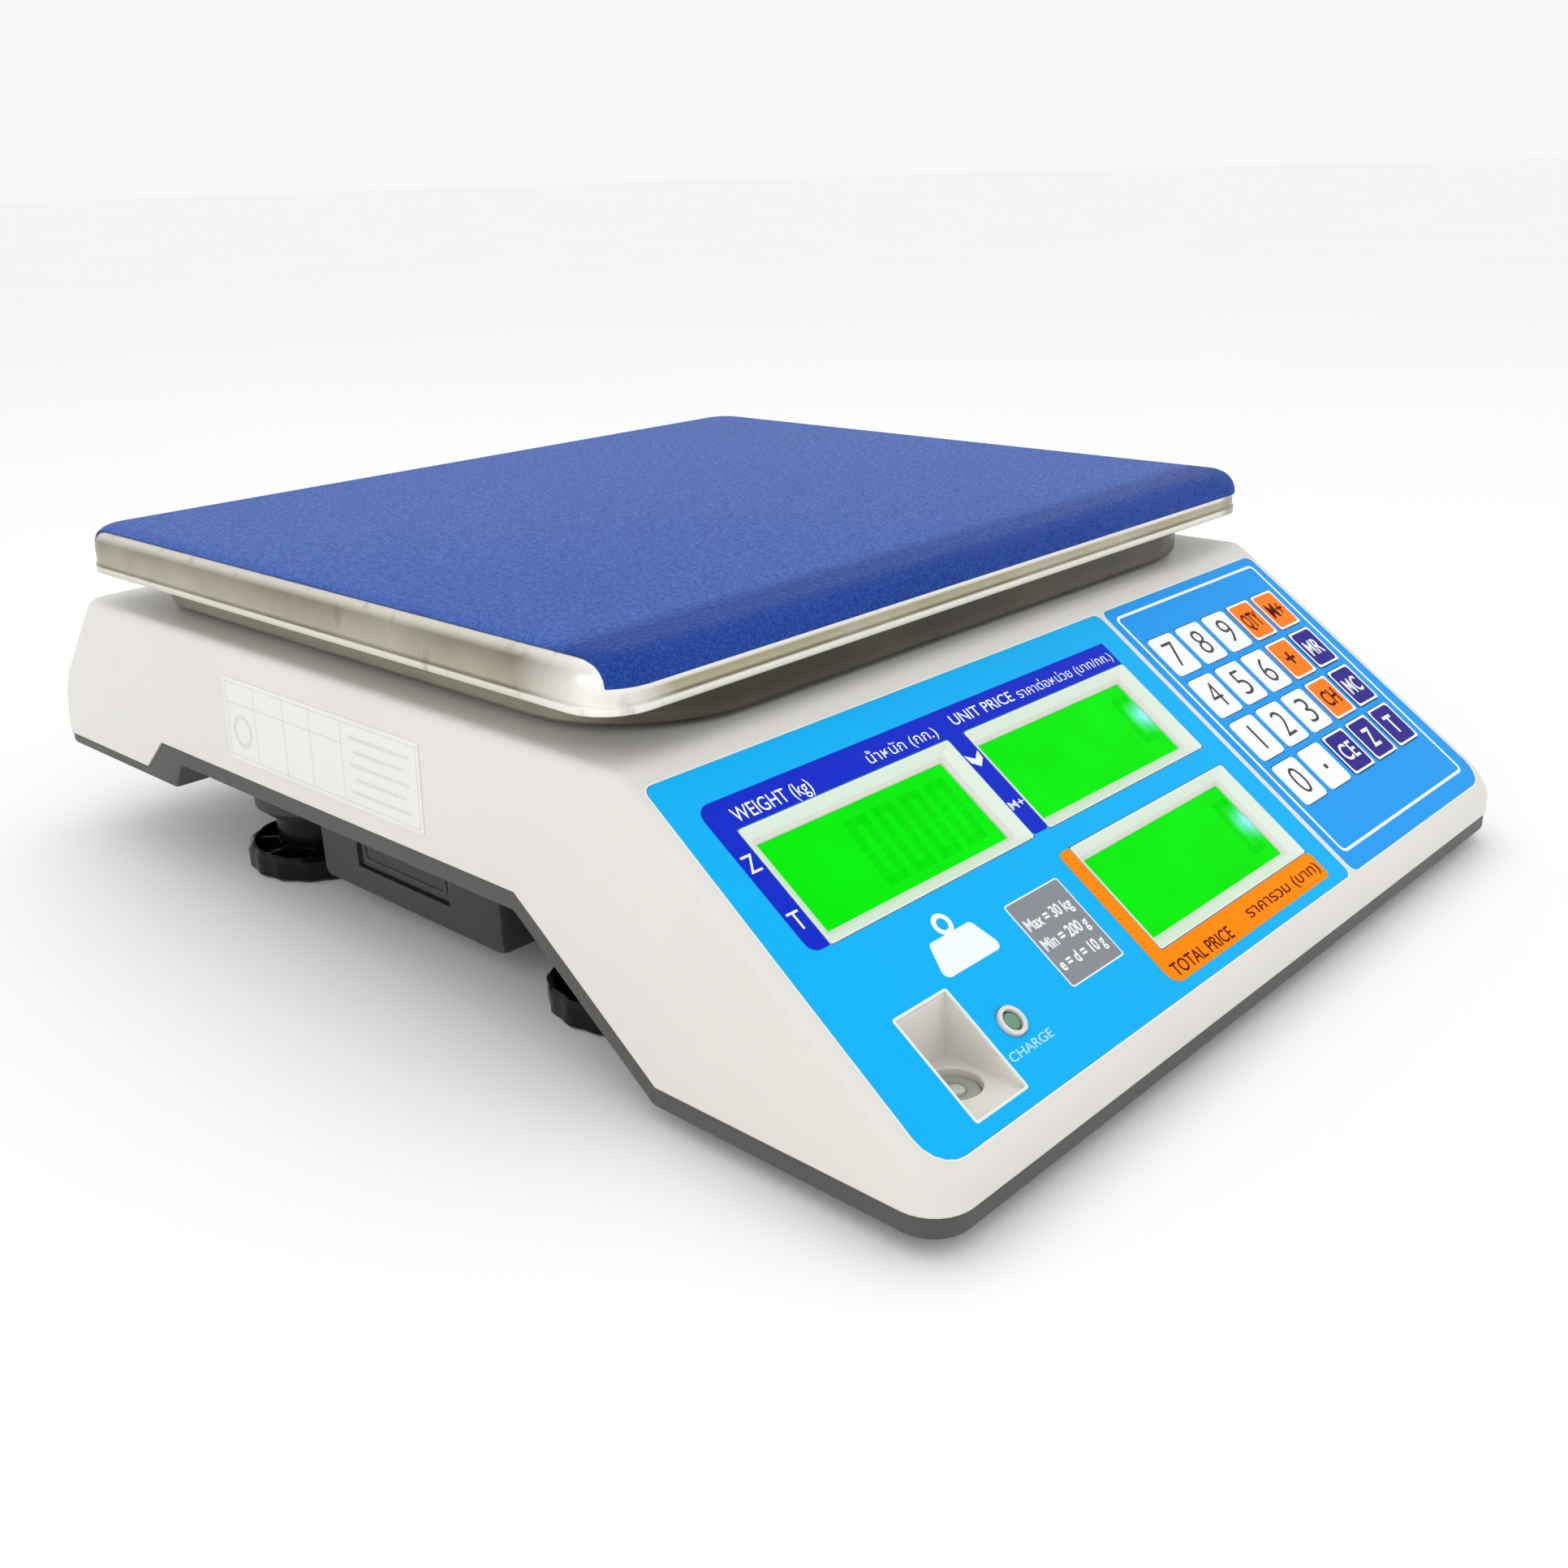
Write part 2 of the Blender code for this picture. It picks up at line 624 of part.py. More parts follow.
def make_carrier(mats):
    top = CARRIER_TOP_Z
    sheet = CARRIER_SHEET
    outer = [carrier_loop(0.0006, CARRIER_LOW_Z), carrier_loop(0.0, CARRIER_LOW_Z + 0.0008),
             carrier_loop(0.0, top - 0.004), carrier_loop(0.0012, top - 0.0012), carrier_loop(0.004, top)]
    inner = [carrier_loop(sheet, CARRIER_LOW_Z), carrier_loop(sheet, top - 0.0045),
             carrier_loop(0.004, top - sheet)]
    carrier = tray("pan_carrier", outer, inner, mats["steel"])
    end = PAN_MID_Y + CELL_LENGTH / 2
    low = CELL_LOW_Z + CELL_HEIGHT + GAP
    post = box("post", (-CELL_WIDTH / 2, end - 0.030, low), (CELL_WIDTH / 2, end, top - sheet / 2))
    combine(carrier, [post], "UNION")
    combine(carrier, [plate("hole", circle(0.0, y, BOLT_HOLE, 16), 0.07, 0.12) for y in free_end_bolts()])
    carrier.data.materials.clear()
    carrier.data.materials.append(mats["steel"])
    smooth(carrier)
    return carrier


def make_load_cell(mats):
    half = CELL_LENGTH / 2
    low, high = CELL_LOW_Z, CELL_LOW_Z + CELL_HEIGHT
    cell = box("load_cell", (-CELL_WIDTH / 2, PAN_MID_Y - half, low), (CELL_WIDTH / 2, PAN_MID_Y + half, high))
    soften(cell, 0.0006, 1)
    middle = (low + high) / 2
    cuts = []
    for y in (PAN_MID_Y - 0.0135, PAN_MID_Y + 0.0135):
        loops = [[Vector((x, py, pz)) for py, pz in circle(y, middle, 0.0085, 20)] for x in (-0.02, 0.02)]
        cuts.append(loft("bore", loops))
    cuts.append(box("slot", (-0.02, PAN_MID_Y - 0.010, middle - 0.002), (0.02, PAN_MID_Y + 0.010, middle + 0.002)))
    for y in fixed_end_bolts():
        cuts.append(plate("hole", circle(0.0, y, BOLT_HOLE, 16), low - 0.01, high + 0.01))
    for y in free_end_bolts():
        cuts.append(plate("hole", circle(0.0, y, BOLT_HOLE, 16), high - 0.0125, high + 0.01))
    combine(cell, cuts)
    cell.data.materials.clear()
    cell.data.materials.append(mats["aluminium"])
    smooth(cell)
    return cell


def make_bolts(mats):
    """Socket-head bolts that clamp the two ends of the load cell."""
    cell_top = CELL_LOW_Z + CELL_HEIGHT
    groups = (
        ("load_cell_bolt_fixed", fixed_end_bolts(), cell_top + GAP, 0.0465),
        ("load_cell_bolt_free", free_end_bolts(), CARRIER_TOP_Z + GAP, cell_top - 0.0115),
    )
    for name, places, seat_z, tip_z in groups:
        for number, y in enumerate(places, 1):
            shank = circle(0.0, 0.0, BOLT_RADIUS, 16)
            head = circle(0.0, 0.0, BOLT_HEAD_RADIUS, 16)
            loops = (at_height(shank, tip_z - seat_z), at_height(shank, 0.0), at_height(head, 0.0),
                     at_height(head, 0.0028), at_height(circle(0, 0, BOLT_HEAD_RADIUS - 0.0006, 16), 0.0034))
            bolt = loft(f"{name}_{number}", loops, mats["zinc_steel"])
            socket = plate("socket", circle(0.0, 0.0, 0.0026, 6), 0.0012, 0.006)
            combine(bolt, [socket])
            bolt.location = (0.0, y, seat_z)
            smooth(bolt)


def make_pan_pads(mats):
    for side, x in (("left", -0.100), ("right", 0.100)):
        for end, y in (("front", PAN_MID_Y - 0.085), ("rear", PAN_MID_Y + 0.085)):
            height = PAN_TOP_Z - PAN_SHEET - CARRIER_TOP_Z - 2 * GAP
            loops = (at_height(circle(0, 0, 0.0085, 20), 0.0), at_height(circle(0, 0, 0.0065, 20), height))
            pad = loft(f"pan_pad_{end}_{side}", loops, mats["rubber"])
            pad.location = (x, y, CARRIER_TOP_Z + GAP)
            smooth(pad)


# ---- frame and feet --------------------------------------------------------
def make_base_frame(mats):
    """Flat steel frame shaped like an I, with a pad under the fixed end of the cell."""
    beam, reach, spine = 0.014, FOOT_X + 0.013, 0.020
    low, high = FRAME_LOW_Z, FRAME_LOW_Z + FRAME_THICK
    outline = [
        (-reach, FOOT_FRONT_Y - beam), (reach, FOOT_FRONT_Y - beam), (reach, FOOT_FRONT_Y + beam),
        (spine, FOOT_FRONT_Y + beam), (spine, FOOT_REAR_Y - beam), (reach, FOOT_REAR_Y - beam),
        (reach, FOOT_REAR_Y + beam), (-reach, FOOT_REAR_Y + beam), (-reach, FOOT_REAR_Y - beam),
        (-spine, FOOT_REAR_Y - beam), (-spine, FOOT_FRONT_Y + beam), (-reach, FOOT_FRONT_Y + beam),
    ]
    frame = plate("base_frame", outline, low, high)
    end = PAN_MID_Y - CELL_LENGTH / 2
    raised = box("raised", (-CELL_WIDTH / 2, end, low + 0.001), (CELL_WIDTH / 2, end + 0.030, CELL_LOW_Z - GAP))
    combine(frame, [raised], "UNION")
    holes = [plate("hole", circle(x, y, STUD_RADIUS + 0.0005), 0.04, 0.06)
             for x in (-FOOT_X, FOOT_X) for y in (FOOT_FRONT_Y, FOOT_REAR_Y)]
    holes += [plate("hole", circle(0.0, y, BOLT_HOLE, 16), 0.04, 0.06) for y in fixed_end_bolts()]
    combine(frame, holes)
    frame.data.materials.clear()
    frame.data.materials.append(mats["zinc_steel"])


def web_outline(turn):
    """Bar across the knob's cup, which leaves two radial webs."""
    along = Vector((0.03, 0.0))
    across = Vector((0.0, WEB_THICK / 2))
    spin = Matrix.Rotation(2 * math.pi * turn / WEBS, 2)
    return [tuple(spin @ corner) for corner in (-along - across, along - across, along + across, across - along)]


def knob_outline(scale=1.0, lobes=16, points_per_lobe=4):
    """Hand knob outline: round lobes with shallow hollows between them."""
    count = lobes * points_per_lobe
    points = []
    for i in range(count):
        angle = 2 * math.pi * i / count
        radius = KNOB_RADIUS * scale - 0.0004 * (1 - math.cos(lobes * angle))
        points.append((radius * math.cos(angle), radius * math.sin(angle)))
    return points


def make_feet(mats):
    for side, x in (("left", -FOOT_X), ("right", FOOT_X)):
        for end, y in (("front", FOOT_FRONT_Y), ("rear", FOOT_REAR_Y)):
            loops = (at_height(knob_outline(0.95), 0.0), at_height(knob_outline(1.0), 0.0012),
                     at_height(knob_outline(1.0), KNOB_HEIGHT - 0.0012), at_height(knob_outline(0.95), KNOB_HEIGHT))
            knob = loft(f"foot_knob_{end}_{side}", loops, mats["black_plastic"])
            cup = loft("cup", (at_height(circle(0, 0, CUP_RADIUS - 0.0004, 32), CUP_FLOOR_Z),
                               at_height(circle(0, 0, CUP_RADIUS, 32), KNOB_HEIGHT + 0.002)))
            kept = [plate("hub", circle(0, 0, NECK_RADIUS, 24), 0.0, 0.012)]
            kept += [plate("web", web_outline(turn), 0.0, KNOB_HEIGHT - 0.0010) for turn in range(WEBS // 2)]
            combine(cup, kept)
            combine(knob, [cup])
            knob.location = (x, y, 0.0)
            smooth(knob)
            neck = circle(0, 0, NECK_RADIUS, 24)
            rod = circle(0, 0, STUD_RADIUS, 24)
            stud_loops = (at_height(neck, KNOB_HEIGHT + GAP), at_height(neck, NECK_TOP_Z - 0.0006),
                          at_height(circle(0, 0, NECK_RADIUS - 0.0006, 24), NECK_TOP_Z),
                          at_height(rod, NECK_TOP_Z), at_height(rod, STUD_TOP_Z - 0.0008),
                          at_height(circle(0, 0, STUD_RADIUS - 0.0008, 24), STUD_TOP_Z))
            stud = loft(f"foot_stud_{end}_{side}", stud_loops, mats["black_plastic"])
            stud.location = (x, y, 0.0)
            smooth(stud)


# ---- panel pieces ----------------------------------------------------------
def make_overlays(mats, panel):
    top = -OVERLAY_POCKET + GAP + OVERLAY_THICK
    low = -OVERLAY_POCKET + GAP
    display = plate("display_overlay", display_outline(GAP), low, top, mats["sky_overlay"], panel)
    cutters = []
    for _, x, s in WINDOWS:
        cutters.append(plate("cut", window_rect(x, s, WINDOW_W + 0.001, WINDOW_H + 0.001), -0.01, 0.01, None, panel))
    middle_x = (LEVEL_X0 + LEVEL_X1) / 2
    middle_s = (LEVEL_S0 + LEVEL_S1) / 2
    level = window_rect(middle_x, middle_s, LEVEL_X1 - LEVEL_X0 + 0.001, LEVEL_S1 - LEVEL_S0 + 0.001)
    cutters.append(plate("cut", level, -0.01, 0.01, None, panel))
    cutters.append(plate("cut", circle(LED_X, -LED_S, BEZEL_RADIUS + GAP), -0.01, 0.01, None, panel))
    combine(display, cutters)
    keypad = plate("keypad_overlay", keypad_outline(GAP), low, top, mats["sky_overlay"], panel)
    holes = [plate("cut", key_outline(x, s, GAP), -0.01, 0.01, None, panel) for _, x, s, _ in key_places()]
    combine(keypad, holes)


def key_places():
    """Name, centre across, centre down the slope and material of each key."""
    places = []
    for row, names in enumerate(KEYS):
        for column, name in enumerate(names):
            x = KEY_FIRST_X + column * KEY_PITCH_X + KEY_W / 2
            s = KEY_FIRST_S + row * KEY_PITCH_S + KEY_H / 2
            if row < 3 and column < 3 or row == 3 and column < 2:
                colour = "key_white"
            elif name in ("quantity", "memory_add", "plus", "change"):
                colour = "key_orange"
            else:
                colour = "key_navy"
            places.append((name, x, s, colour))
    return places


def key_outline(x, s, grow=0.0):
    half_w, half_h = KEY_W / 2 + grow, KEY_H / 2 + grow
    radius = 0.0016 + grow
    return rounded_rect(x - half_w, x + half_w, -s - half_h, -s + half_h, radius, radius, 3)


def make_keys(mats, panel):
    for name, x, s, colour in key_places():
        outline = key_outline(0.0, 0.0)
        rim = key_outline(0.0, 0.0, -0.0003)
        loops = (at_height(outline, -KEY_UNDER), at_height(outline, KEY_PROUD - 0.0002), at_height(rim, KEY_PROUD))
        key = loft(f"key_{name}", loops, mats[colour], panel)
        key.location = (x, -s, 0.0)


def make_displays(mats, panel):
    low = -WINDOW_DEPTH - 0.0038
    for name, x, s in WINDOWS:
        half_w, half_h = 0.0425, 0.0200
        high = -PANEL_WALL - GAP
        lcd = box(name, (x - half_w, -s - half_h, low), (x + half_w, -s + half_h, high), mats["lcd_green"], panel)
        raised = box("view", (x - VIEW_W / 2 + GAP, -s - VIEW_H / 2 + GAP, high - 0.001),
                     (x + VIEW_W / 2 - GAP, -s + VIEW_H / 2 - GAP, -WINDOW_DEPTH), None, panel)
        combine(lcd, [raised], "UNION")
    board_top = low - GAP
    outline = [(-0.107, -0.107), (0.043, -0.107), (0.043, -0.022), (-0.134, -0.022), (-0.134, -0.077),
               (-0.107, -0.077)]
    plate("display_board", outline, board_top - 0.0016, board_top, mats["board_green"], panel)


def make_keypad_board(mats, panel):
    x1 = KEY_FIRST_X + 4 * KEY_PITCH_X + KEY_W + 0.002
    box("keypad_board", (KEY_FIRST_X - 0.002, -0.0955, -KEY_POCKET + GAP),
        (x1, -0.019, -KEY_POCKET + GAP + 0.0006), mats["board_green"], panel)


def make_led(mats, panel):
    ring = plate("led_bezel", circle(LED_X, -LED_S, BEZEL_RADIUS), -0.0004, 0.0009, mats["white_plastic"], panel)
    combine(ring, [plate("cut", circle(LED_X, -LED_S, LED_RADIUS + GAP), -0.01, 0.01, None, panel)])
    ring.data.materials.clear()
    ring.data.materials.append(mats["white_plastic"])
    body = circle(LED_X, -LED_S, LED_RADIUS, 16)
    tip = circle(LED_X, -LED_S, LED_RADIUS - 0.0007, 16)
    led = loft("charge_led", (at_height(body, -0.0070), at_height(body, 0.0), at_height(tip, 0.0006)),
               mats["clear_acrylic"], panel)
    smooth(led)


def make_level_vial(mats):
    body = circle(VIAL_X, VIAL_Y, VIAL_RADIUS)
    top = circle(VIAL_X, VIAL_Y, VIAL_RADIUS - 0.0004)
    loops = (at_height(body, 0.0155), at_height(body, LEVEL_FLOOR_Z - 0.0024), at_height(top, LEVEL_FLOOR_Z - 0.0018))
    vial = loft("level_vial", loops, mats["clear_acrylic"])
    smooth(vial)


def make_rear_display(mats, rear):
    low = -OVERLAY_POCKET + GAP
    overlay = box("rear_overlay", (-0.125, -0.034, low), (0.125, -0.005, low + OVERLAY_THICK),
                  mats["sky_overlay"], rear)
    cuts = [box("cut", (x - 0.0305, -0.0305, -0.01), (x + 0.0305, -0.0095, 0.01), None, rear)
            for x in REAR_WINDOWS]
    combine(overlay, cuts)
    module = box("rear_display", (-0.118, -0.0325, -0.0095), (0.118, -0.0075, -WALL - GAP), mats["lcd_green"], rear)
    soften(module, 0.0006, 1)


# ---- electrics -------------------------------------------------------------
def make_battery(mats):
    x0 = BOX_X0 + BOX_WALL + 0.0013
    y = (BOX_Y0 + BOX_Y1) / 2
    z = BOX_LOW_Z + BOX_WALL + GAP
    battery = box("battery", (x0, y - 0.026, z), (x0 + 0.097, y + 0.026, z + 0.024), mats["battery_grey"])
    soften(battery, 0.0015)


def make_battery_door(mats):
    x0 = BOX_X0 + 0.0012
    origin = Vector((x0, (DOOR_Y0 + DOOR_Y1) / 2, DOOR_LOW_Z + GAP))
    half = (DOOR_Y1 - DOOR_Y0) / 2 - GAP
    height = DOOR_TOP_Z - DOOR_LOW_Z - 2 * GAP
    door = box("battery_door", (0.0, -half, 0.0), (0.0016, half, height), mats["grey_plastic"])
    soften(door, 0.0004, 1)
    door.location = origin


def make_main_board(mats):
    board = box("main_board", (-0.005, EDGE_Y - 0.076, 0.0133), (0.115, EDGE_Y - 0.021, 0.0149))
    parts = (
        ((0.010, -0.066), (0.030, -0.046), 0.0185),
        ((0.045, -0.061), (0.065, -0.039), 0.0175),
        ((0.085, -0.041), (0.105, -0.026), 0.0235),
    )
    chips = [box("chip", (low[0], EDGE_Y + low[1], 0.0145), (high[0], EDGE_Y + high[1], top))
             for low, high, top in parts]
    combine(board, chips, "UNION")
    board.data.materials.clear()
    board.data.materials.append(mats["board_green"])


def make_power_switch(mats):
    """Rocker with two flats, resting on one side, its pivot across the scale."""
    half = SWITCH_L / 2
    profile = [(-half, -0.0030), (0.0, -0.0012), (half, -0.0030), (half, 0.0010), (0.003, 0.0060),
               (-0.003, 0.0060), (-half, 0.0010)]
    loops = [[Vector((x, y, z)) for y, z in profile] for x in (-SWITCH_W / 2, SWITCH_W / 2)]
    rocker = loft("power_switch", loops, mats["black_plastic"])
    soften(rocker, 0.0005, 1)
    rocker.location = (SWITCH_X, SWITCH_Y, SPLIT_MID_Z - BAND + 0.0012)
    rocker.rotation_euler = (-SWITCH_TILT, 0.0, 0.0)


def make_power_inlet(mats):
    inlet = box("power_inlet", (INLET_X - 0.0045, REAR_Y - 0.0131, INLET_Z - 0.0048),
                (INLET_X + 0.0045, REAR_Y - 0.0003, INLET_Z + 0.0048))
    loops = [[Vector((x, y, z)) for x, z in circle(INLET_X, INLET_Z, 0.0031, 20)] for y in (REAR_Y - 0.0096, REAR_Y + 0.01)]
    combine(inlet, [loft("socket", loops)])
    inlet.data.materials.clear()
    inlet.data.materials.append(mats["black_plastic"])


def main():
    clear_scene()
    mats = make_materials()
    panel = empty("panel_datum", (0.0, EDGE_Y, DECK_Z), (PANEL_ANGLE, 0.0, 0.0))
    lean = math.atan2(REAR_SLOPE_DROP, REAR_SLOPE_RUN)
    rear = empty("rear_datum", (0.0, REAR_TOP_Y, DECK_Z), (lean, 0.0, math.pi))

    make_upper_housing(mats, panel, rear)
    make_lower_housing(mats)
    make_base_frame(mats)
    make_load_cell(mats)
    make_bolts(mats)
    make_carrier(mats)
    make_pan_pads(mats)
    make_pan(mats)
    make_film(mats)
    make_feet(mats)
    make_overlays(mats, panel)
    make_keys(mats, panel)
    make_displays(mats, panel)
    make_keypad_board(mats, panel)
    make_led(mats, panel)
    make_level_vial(mats)
    make_rear_display(mats, rear)
    make_battery(mats)
    make_battery_door(mats)
    make_main_board(mats)
    make_power_switch(mats)
    make_power_inlet(mats)
    bpy.context.view_layer.update()


main()
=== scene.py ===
"""Looks, printed detail, light and camera for the price-computing counter scale."""
import math

import bmesh
import bpy
from mathutils import Matrix, Vector


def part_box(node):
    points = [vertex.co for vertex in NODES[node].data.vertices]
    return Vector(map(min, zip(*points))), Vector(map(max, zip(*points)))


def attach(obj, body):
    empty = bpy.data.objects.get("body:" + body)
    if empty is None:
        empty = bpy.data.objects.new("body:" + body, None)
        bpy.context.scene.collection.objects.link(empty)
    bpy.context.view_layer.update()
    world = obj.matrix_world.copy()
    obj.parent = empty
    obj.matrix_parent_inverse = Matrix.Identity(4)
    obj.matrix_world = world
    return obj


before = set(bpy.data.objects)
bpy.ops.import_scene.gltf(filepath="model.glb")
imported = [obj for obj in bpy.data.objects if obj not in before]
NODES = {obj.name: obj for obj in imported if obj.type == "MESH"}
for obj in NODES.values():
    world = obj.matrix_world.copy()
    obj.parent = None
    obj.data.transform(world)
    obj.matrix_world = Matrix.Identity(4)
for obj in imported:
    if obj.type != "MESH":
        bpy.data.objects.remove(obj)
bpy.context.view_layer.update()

MM = 0.001
PANEL_ANGLE = math.radians(35.5)      # slope of the front panel
DECK_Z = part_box("upper_housing")[1].z
EDGE_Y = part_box("weighing_pan")[0].y + 1.1 * MM
# The faces that carry prints: x across, y up the slope and z out of the face.
PANEL = Matrix.Translation((0, EDGE_Y, DECK_Z)) @ Matrix.Rotation(PANEL_ANGLE, 4, "X")
REAR_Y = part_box("upper_housing")[1].y
REAR_ANGLE = math.atan2(30.0, 25.8)   # lean of the rear wall's upper part
REAR_INSET = 30.3 * MM                # from the rear end to that part's top edge
REAR = (Matrix.Translation((0, REAR_Y - REAR_INSET, DECK_Z)) @ Matrix.Rotation(math.pi, 4, "Z")
        @ Matrix.Rotation(REAR_ANGLE, 4, "X"))
WALL_DRAFT = 0.039                    # how far the side walls lean out on their way down
WALL_TOP_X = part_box("upper_housing")[0].x + WALL_DRAFT * (DECK_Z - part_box("upper_housing")[0].z)
PRINT_LOW = -0.05 * MM                # prints sink this far into the sheet under them
PRINT_TOP = 0.05 * MM
OVER_LOW = PRINT_TOP - 0.02 * MM      # a second print on top of the first
OVER_TOP = PRINT_TOP + 0.04 * MM
LCD_DEPTH = 3.4 * MM
WINDOWS = {"weight": (-89.9, 43.5), "unit": (-2.5, 43.3), "total": (-2.2, 85.6)}
WINDOW_W, WINDOW_H = 79.7, 34.5       # a window's lip, in millimetres on the panel
VIEW_W, VIEW_H = 71.0, 27.0           # the glass seen at its foot
REAR_WINDOWS = {"weight": -78.0, "unit": 0.0, "total": 78.0}
REAR_VIEW_S = 20.0
REAR_VIEW_W, REAR_VIEW_H = 60.0, 20.0
REAR_DEPTH = 2.8 * MM
BAY_Y = -73.0 * MM                    # the underside between the front block and the rear starts here
GLOWS = {"unit": (31.1, 42.4), "total": (31.7, 85.8)}   # lamps behind the price displays
GLOW_LIGHT = 0.95                     # how brightly a display shines
GHOST_LIGHT = 0.84                    # how brightly its faint digits do
SWITCH_Y = EDGE_Y + 144.0 * MM
SWITCH_PIVOT_Z = 42.5 * MM
SWITCH_TILT = math.radians(6)
REAR_FLOOR_Z = 32.5 * MM              # underside of the housing between and behind the feet
KEY_W, KEY_H = 14.1, 15.7
KEY_PROUD = 0.3 * MM
KEY_LABELS = {str(digit): str(digit) for digit in range(10)}
KEY_LABELS.update(point=".", quantity="QTY", memory_add="M+", plus="+", memory_recall="MR",
                  change="CH", memory_clear="MC", clear="CE", zero="Z", tare="T")
ORANGE_KEYS = ("quantity", "memory_add", "plus", "change")
SHARP_ANGLE = math.radians(32)        # folds steeper than this keep a hard edge


# ---- materials -------------------------------------------------------------
def colour(red, green, blue):
    """Linear colour of display values from 0 to 255."""
    def linear(value):
        value /= 255
        return value / 12.92 if value <= 0.04045 else ((value + 0.055) / 1.055) ** 2.4
    return (linear(red), linear(green), linear(blue), 1.0)


class Shader:
    """Builds one node material step by step."""

    def __init__(self, name):
        self.material = bpy.data.materials.new(name)
        self.material.use_nodes = True
        self.tree = self.material.node_tree
        self.main = self.tree.nodes["Principled BSDF"]
        self.place = self.node("ShaderNodeTexCoord").outputs["Object"]

    def node(self, kind, **settings):
        made = self.tree.nodes.new(kind)
        for key, value in settings.items():
            setattr(made, key, value)
        return made

    def link(self, source, target):
        self.tree.links.new(source, target)

    def noise(self, scale, detail=3.0, stretch=None):
        """Noise with that many cells to the metre, stretched along an axis if asked."""
        texture = self.node("ShaderNodeTexNoise")
        texture.inputs["Scale"].default_value = scale
        texture.inputs["Detail"].default_value = detail
        source = self.place
        if stretch:
            mapping = self.node("ShaderNodeMapping")
            mapping.inputs["Scale"].default_value = stretch
            self.link(self.place, mapping.inputs["Vector"])
            source = mapping.outputs["Vector"]
        self.link(source, texture.inputs["Vector"])
        return texture.outputs["Fac"]

    def remap(self, source, low, high, to_low=0.0, to_high=1.0):
        """Stretches low..high to to_low..to_high, and stops at both ends."""
        made = self.node("ShaderNodeMapRange")
        ends = {"From Min": low, "From Max": high, "To Min": to_low, "To Max": to_high}
        for key, value in ends.items():
            made.inputs[key].default_value = value
        self.link(source, made.inputs["Value"])
        return made.outputs["Result"]

    def times(self, first, second):
        made = self.node("ShaderNodeMath", operation="MULTIPLY")
        self.link(first, made.inputs[0])
        self.link(second, made.inputs[1])
        return made.outputs[0]

    def mix(self, factor, first, second):
        """Mixes two colours; each is a colour or a socket."""
        mixer = self.node("ShaderNodeMix", data_type="RGBA")
        self.link(factor, mixer.inputs["Factor"])
        for key, value in (("A", first), ("B", second)):
            socket = [s for s in mixer.inputs if s.name == key and s.type == "RGBA"][0]
            if isinstance(value, tuple):
                socket.default_value = value
            else:
                self.link(value, socket)
        return [s for s in mixer.outputs if s.type == "RGBA"][0]

    def edges(self, radius):
        """Rounded normal, and a mask that is 1 along the edges of the piece."""
        bevel = self.node("ShaderNodeBevel", samples=4)
        bevel.inputs["Radius"].default_value = radius
        flat = self.node("ShaderNodeNewGeometry").outputs["Normal"]
        dot = self.node("ShaderNodeVectorMath", operation="DOT_PRODUCT")
        self.link(bevel.outputs["Normal"], dot.inputs[0])
        self.link(flat, dot.inputs[1])
        return bevel.outputs["Normal"], self.remap(dot.outputs["Value"], 1.0, 0.86)

    def bump(self, height, distance, normal=None):
        made = self.node("ShaderNodeBump")
        made.inputs["Distance"].default_value = distance
        self.link(height, made.inputs["Height"])
        if normal:
            self.link(normal, made.inputs["Normal"])
        return made.outputs["Normal"]

    def ramp(self, source, stops):
        """Colour ramp of (place, colour) stops."""
        made = self.node("ShaderNodeValToRGB")
        elements = made.color_ramp.elements
        elements[0].position, elements[0].color = stops[0]
        elements[1].position, elements[1].color = stops[-1]
        for place, tone in stops[1:-1]:
            elements.new(place).color = tone
        self.link(source, made.inputs["Fac"])
        return made.outputs["Color"]

    def axis(self, name, vector=None):
        """One coordinate of a vector, or of the place on the object."""
        split = self.node("ShaderNodeSeparateXYZ")
        self.link(vector or self.place, split.inputs[0])
        return split.outputs[name]


def surface(name, base, rough=0.4, metal=0.0, grain=900.0, depth=0.02, shade=0.9, blotch=14.0,
            wear=None, radius=0.3, coat=0.0, specular=0.5, stretch=None, low_tone=None):
    """A finish with colour drift and fine grain, and worn edges if it has a wear colour. grain and
    blotch are cells to the metre, depth and radius are millimetres. low_tone is the colour of the
    underside from the bay to the rear."""
    spread = 0.06
    s = Shader(name)
    dark = tuple(c * shade for c in base[:3]) + (1.0,)
    tone = s.mix(s.remap(s.noise(blotch, 4.0), 0.35, 0.65), dark, base)
    if low_tone:
        behind = s.remap(s.axis("Y"), BAY_Y - 1 * MM, BAY_Y + 1 * MM)
        below = s.remap(s.axis("Z"), REAR_FLOOR_Z - 0.2 * MM, REAR_FLOOR_Z - 1.2 * MM)
        tone = s.mix(s.times(behind, below), tone, low_tone)
    fine = s.noise(grain, 3.0, stretch)
    soft_normal, edge = s.edges(radius * MM)
    if wear:
        worn = s.times(edge, s.remap(s.noise(160.0, 4.0), 0.40, 0.62))
        tone = s.mix(worn, tone, wear)
    s.link(tone, s.main.inputs["Base Color"])
    s.link(s.remap(fine, 0.3, 0.7, max(rough - spread, 0.03), min(rough + spread, 1.0)),
           s.main.inputs["Roughness"])
    s.link(s.bump(fine, depth * MM, soft_normal), s.main.inputs["Normal"])
    s.main.inputs["Metallic"].default_value = metal
    s.main.inputs["Coat Weight"].default_value = coat
    s.main.inputs["Specular IOR Level"].default_value = specular
    return s.material


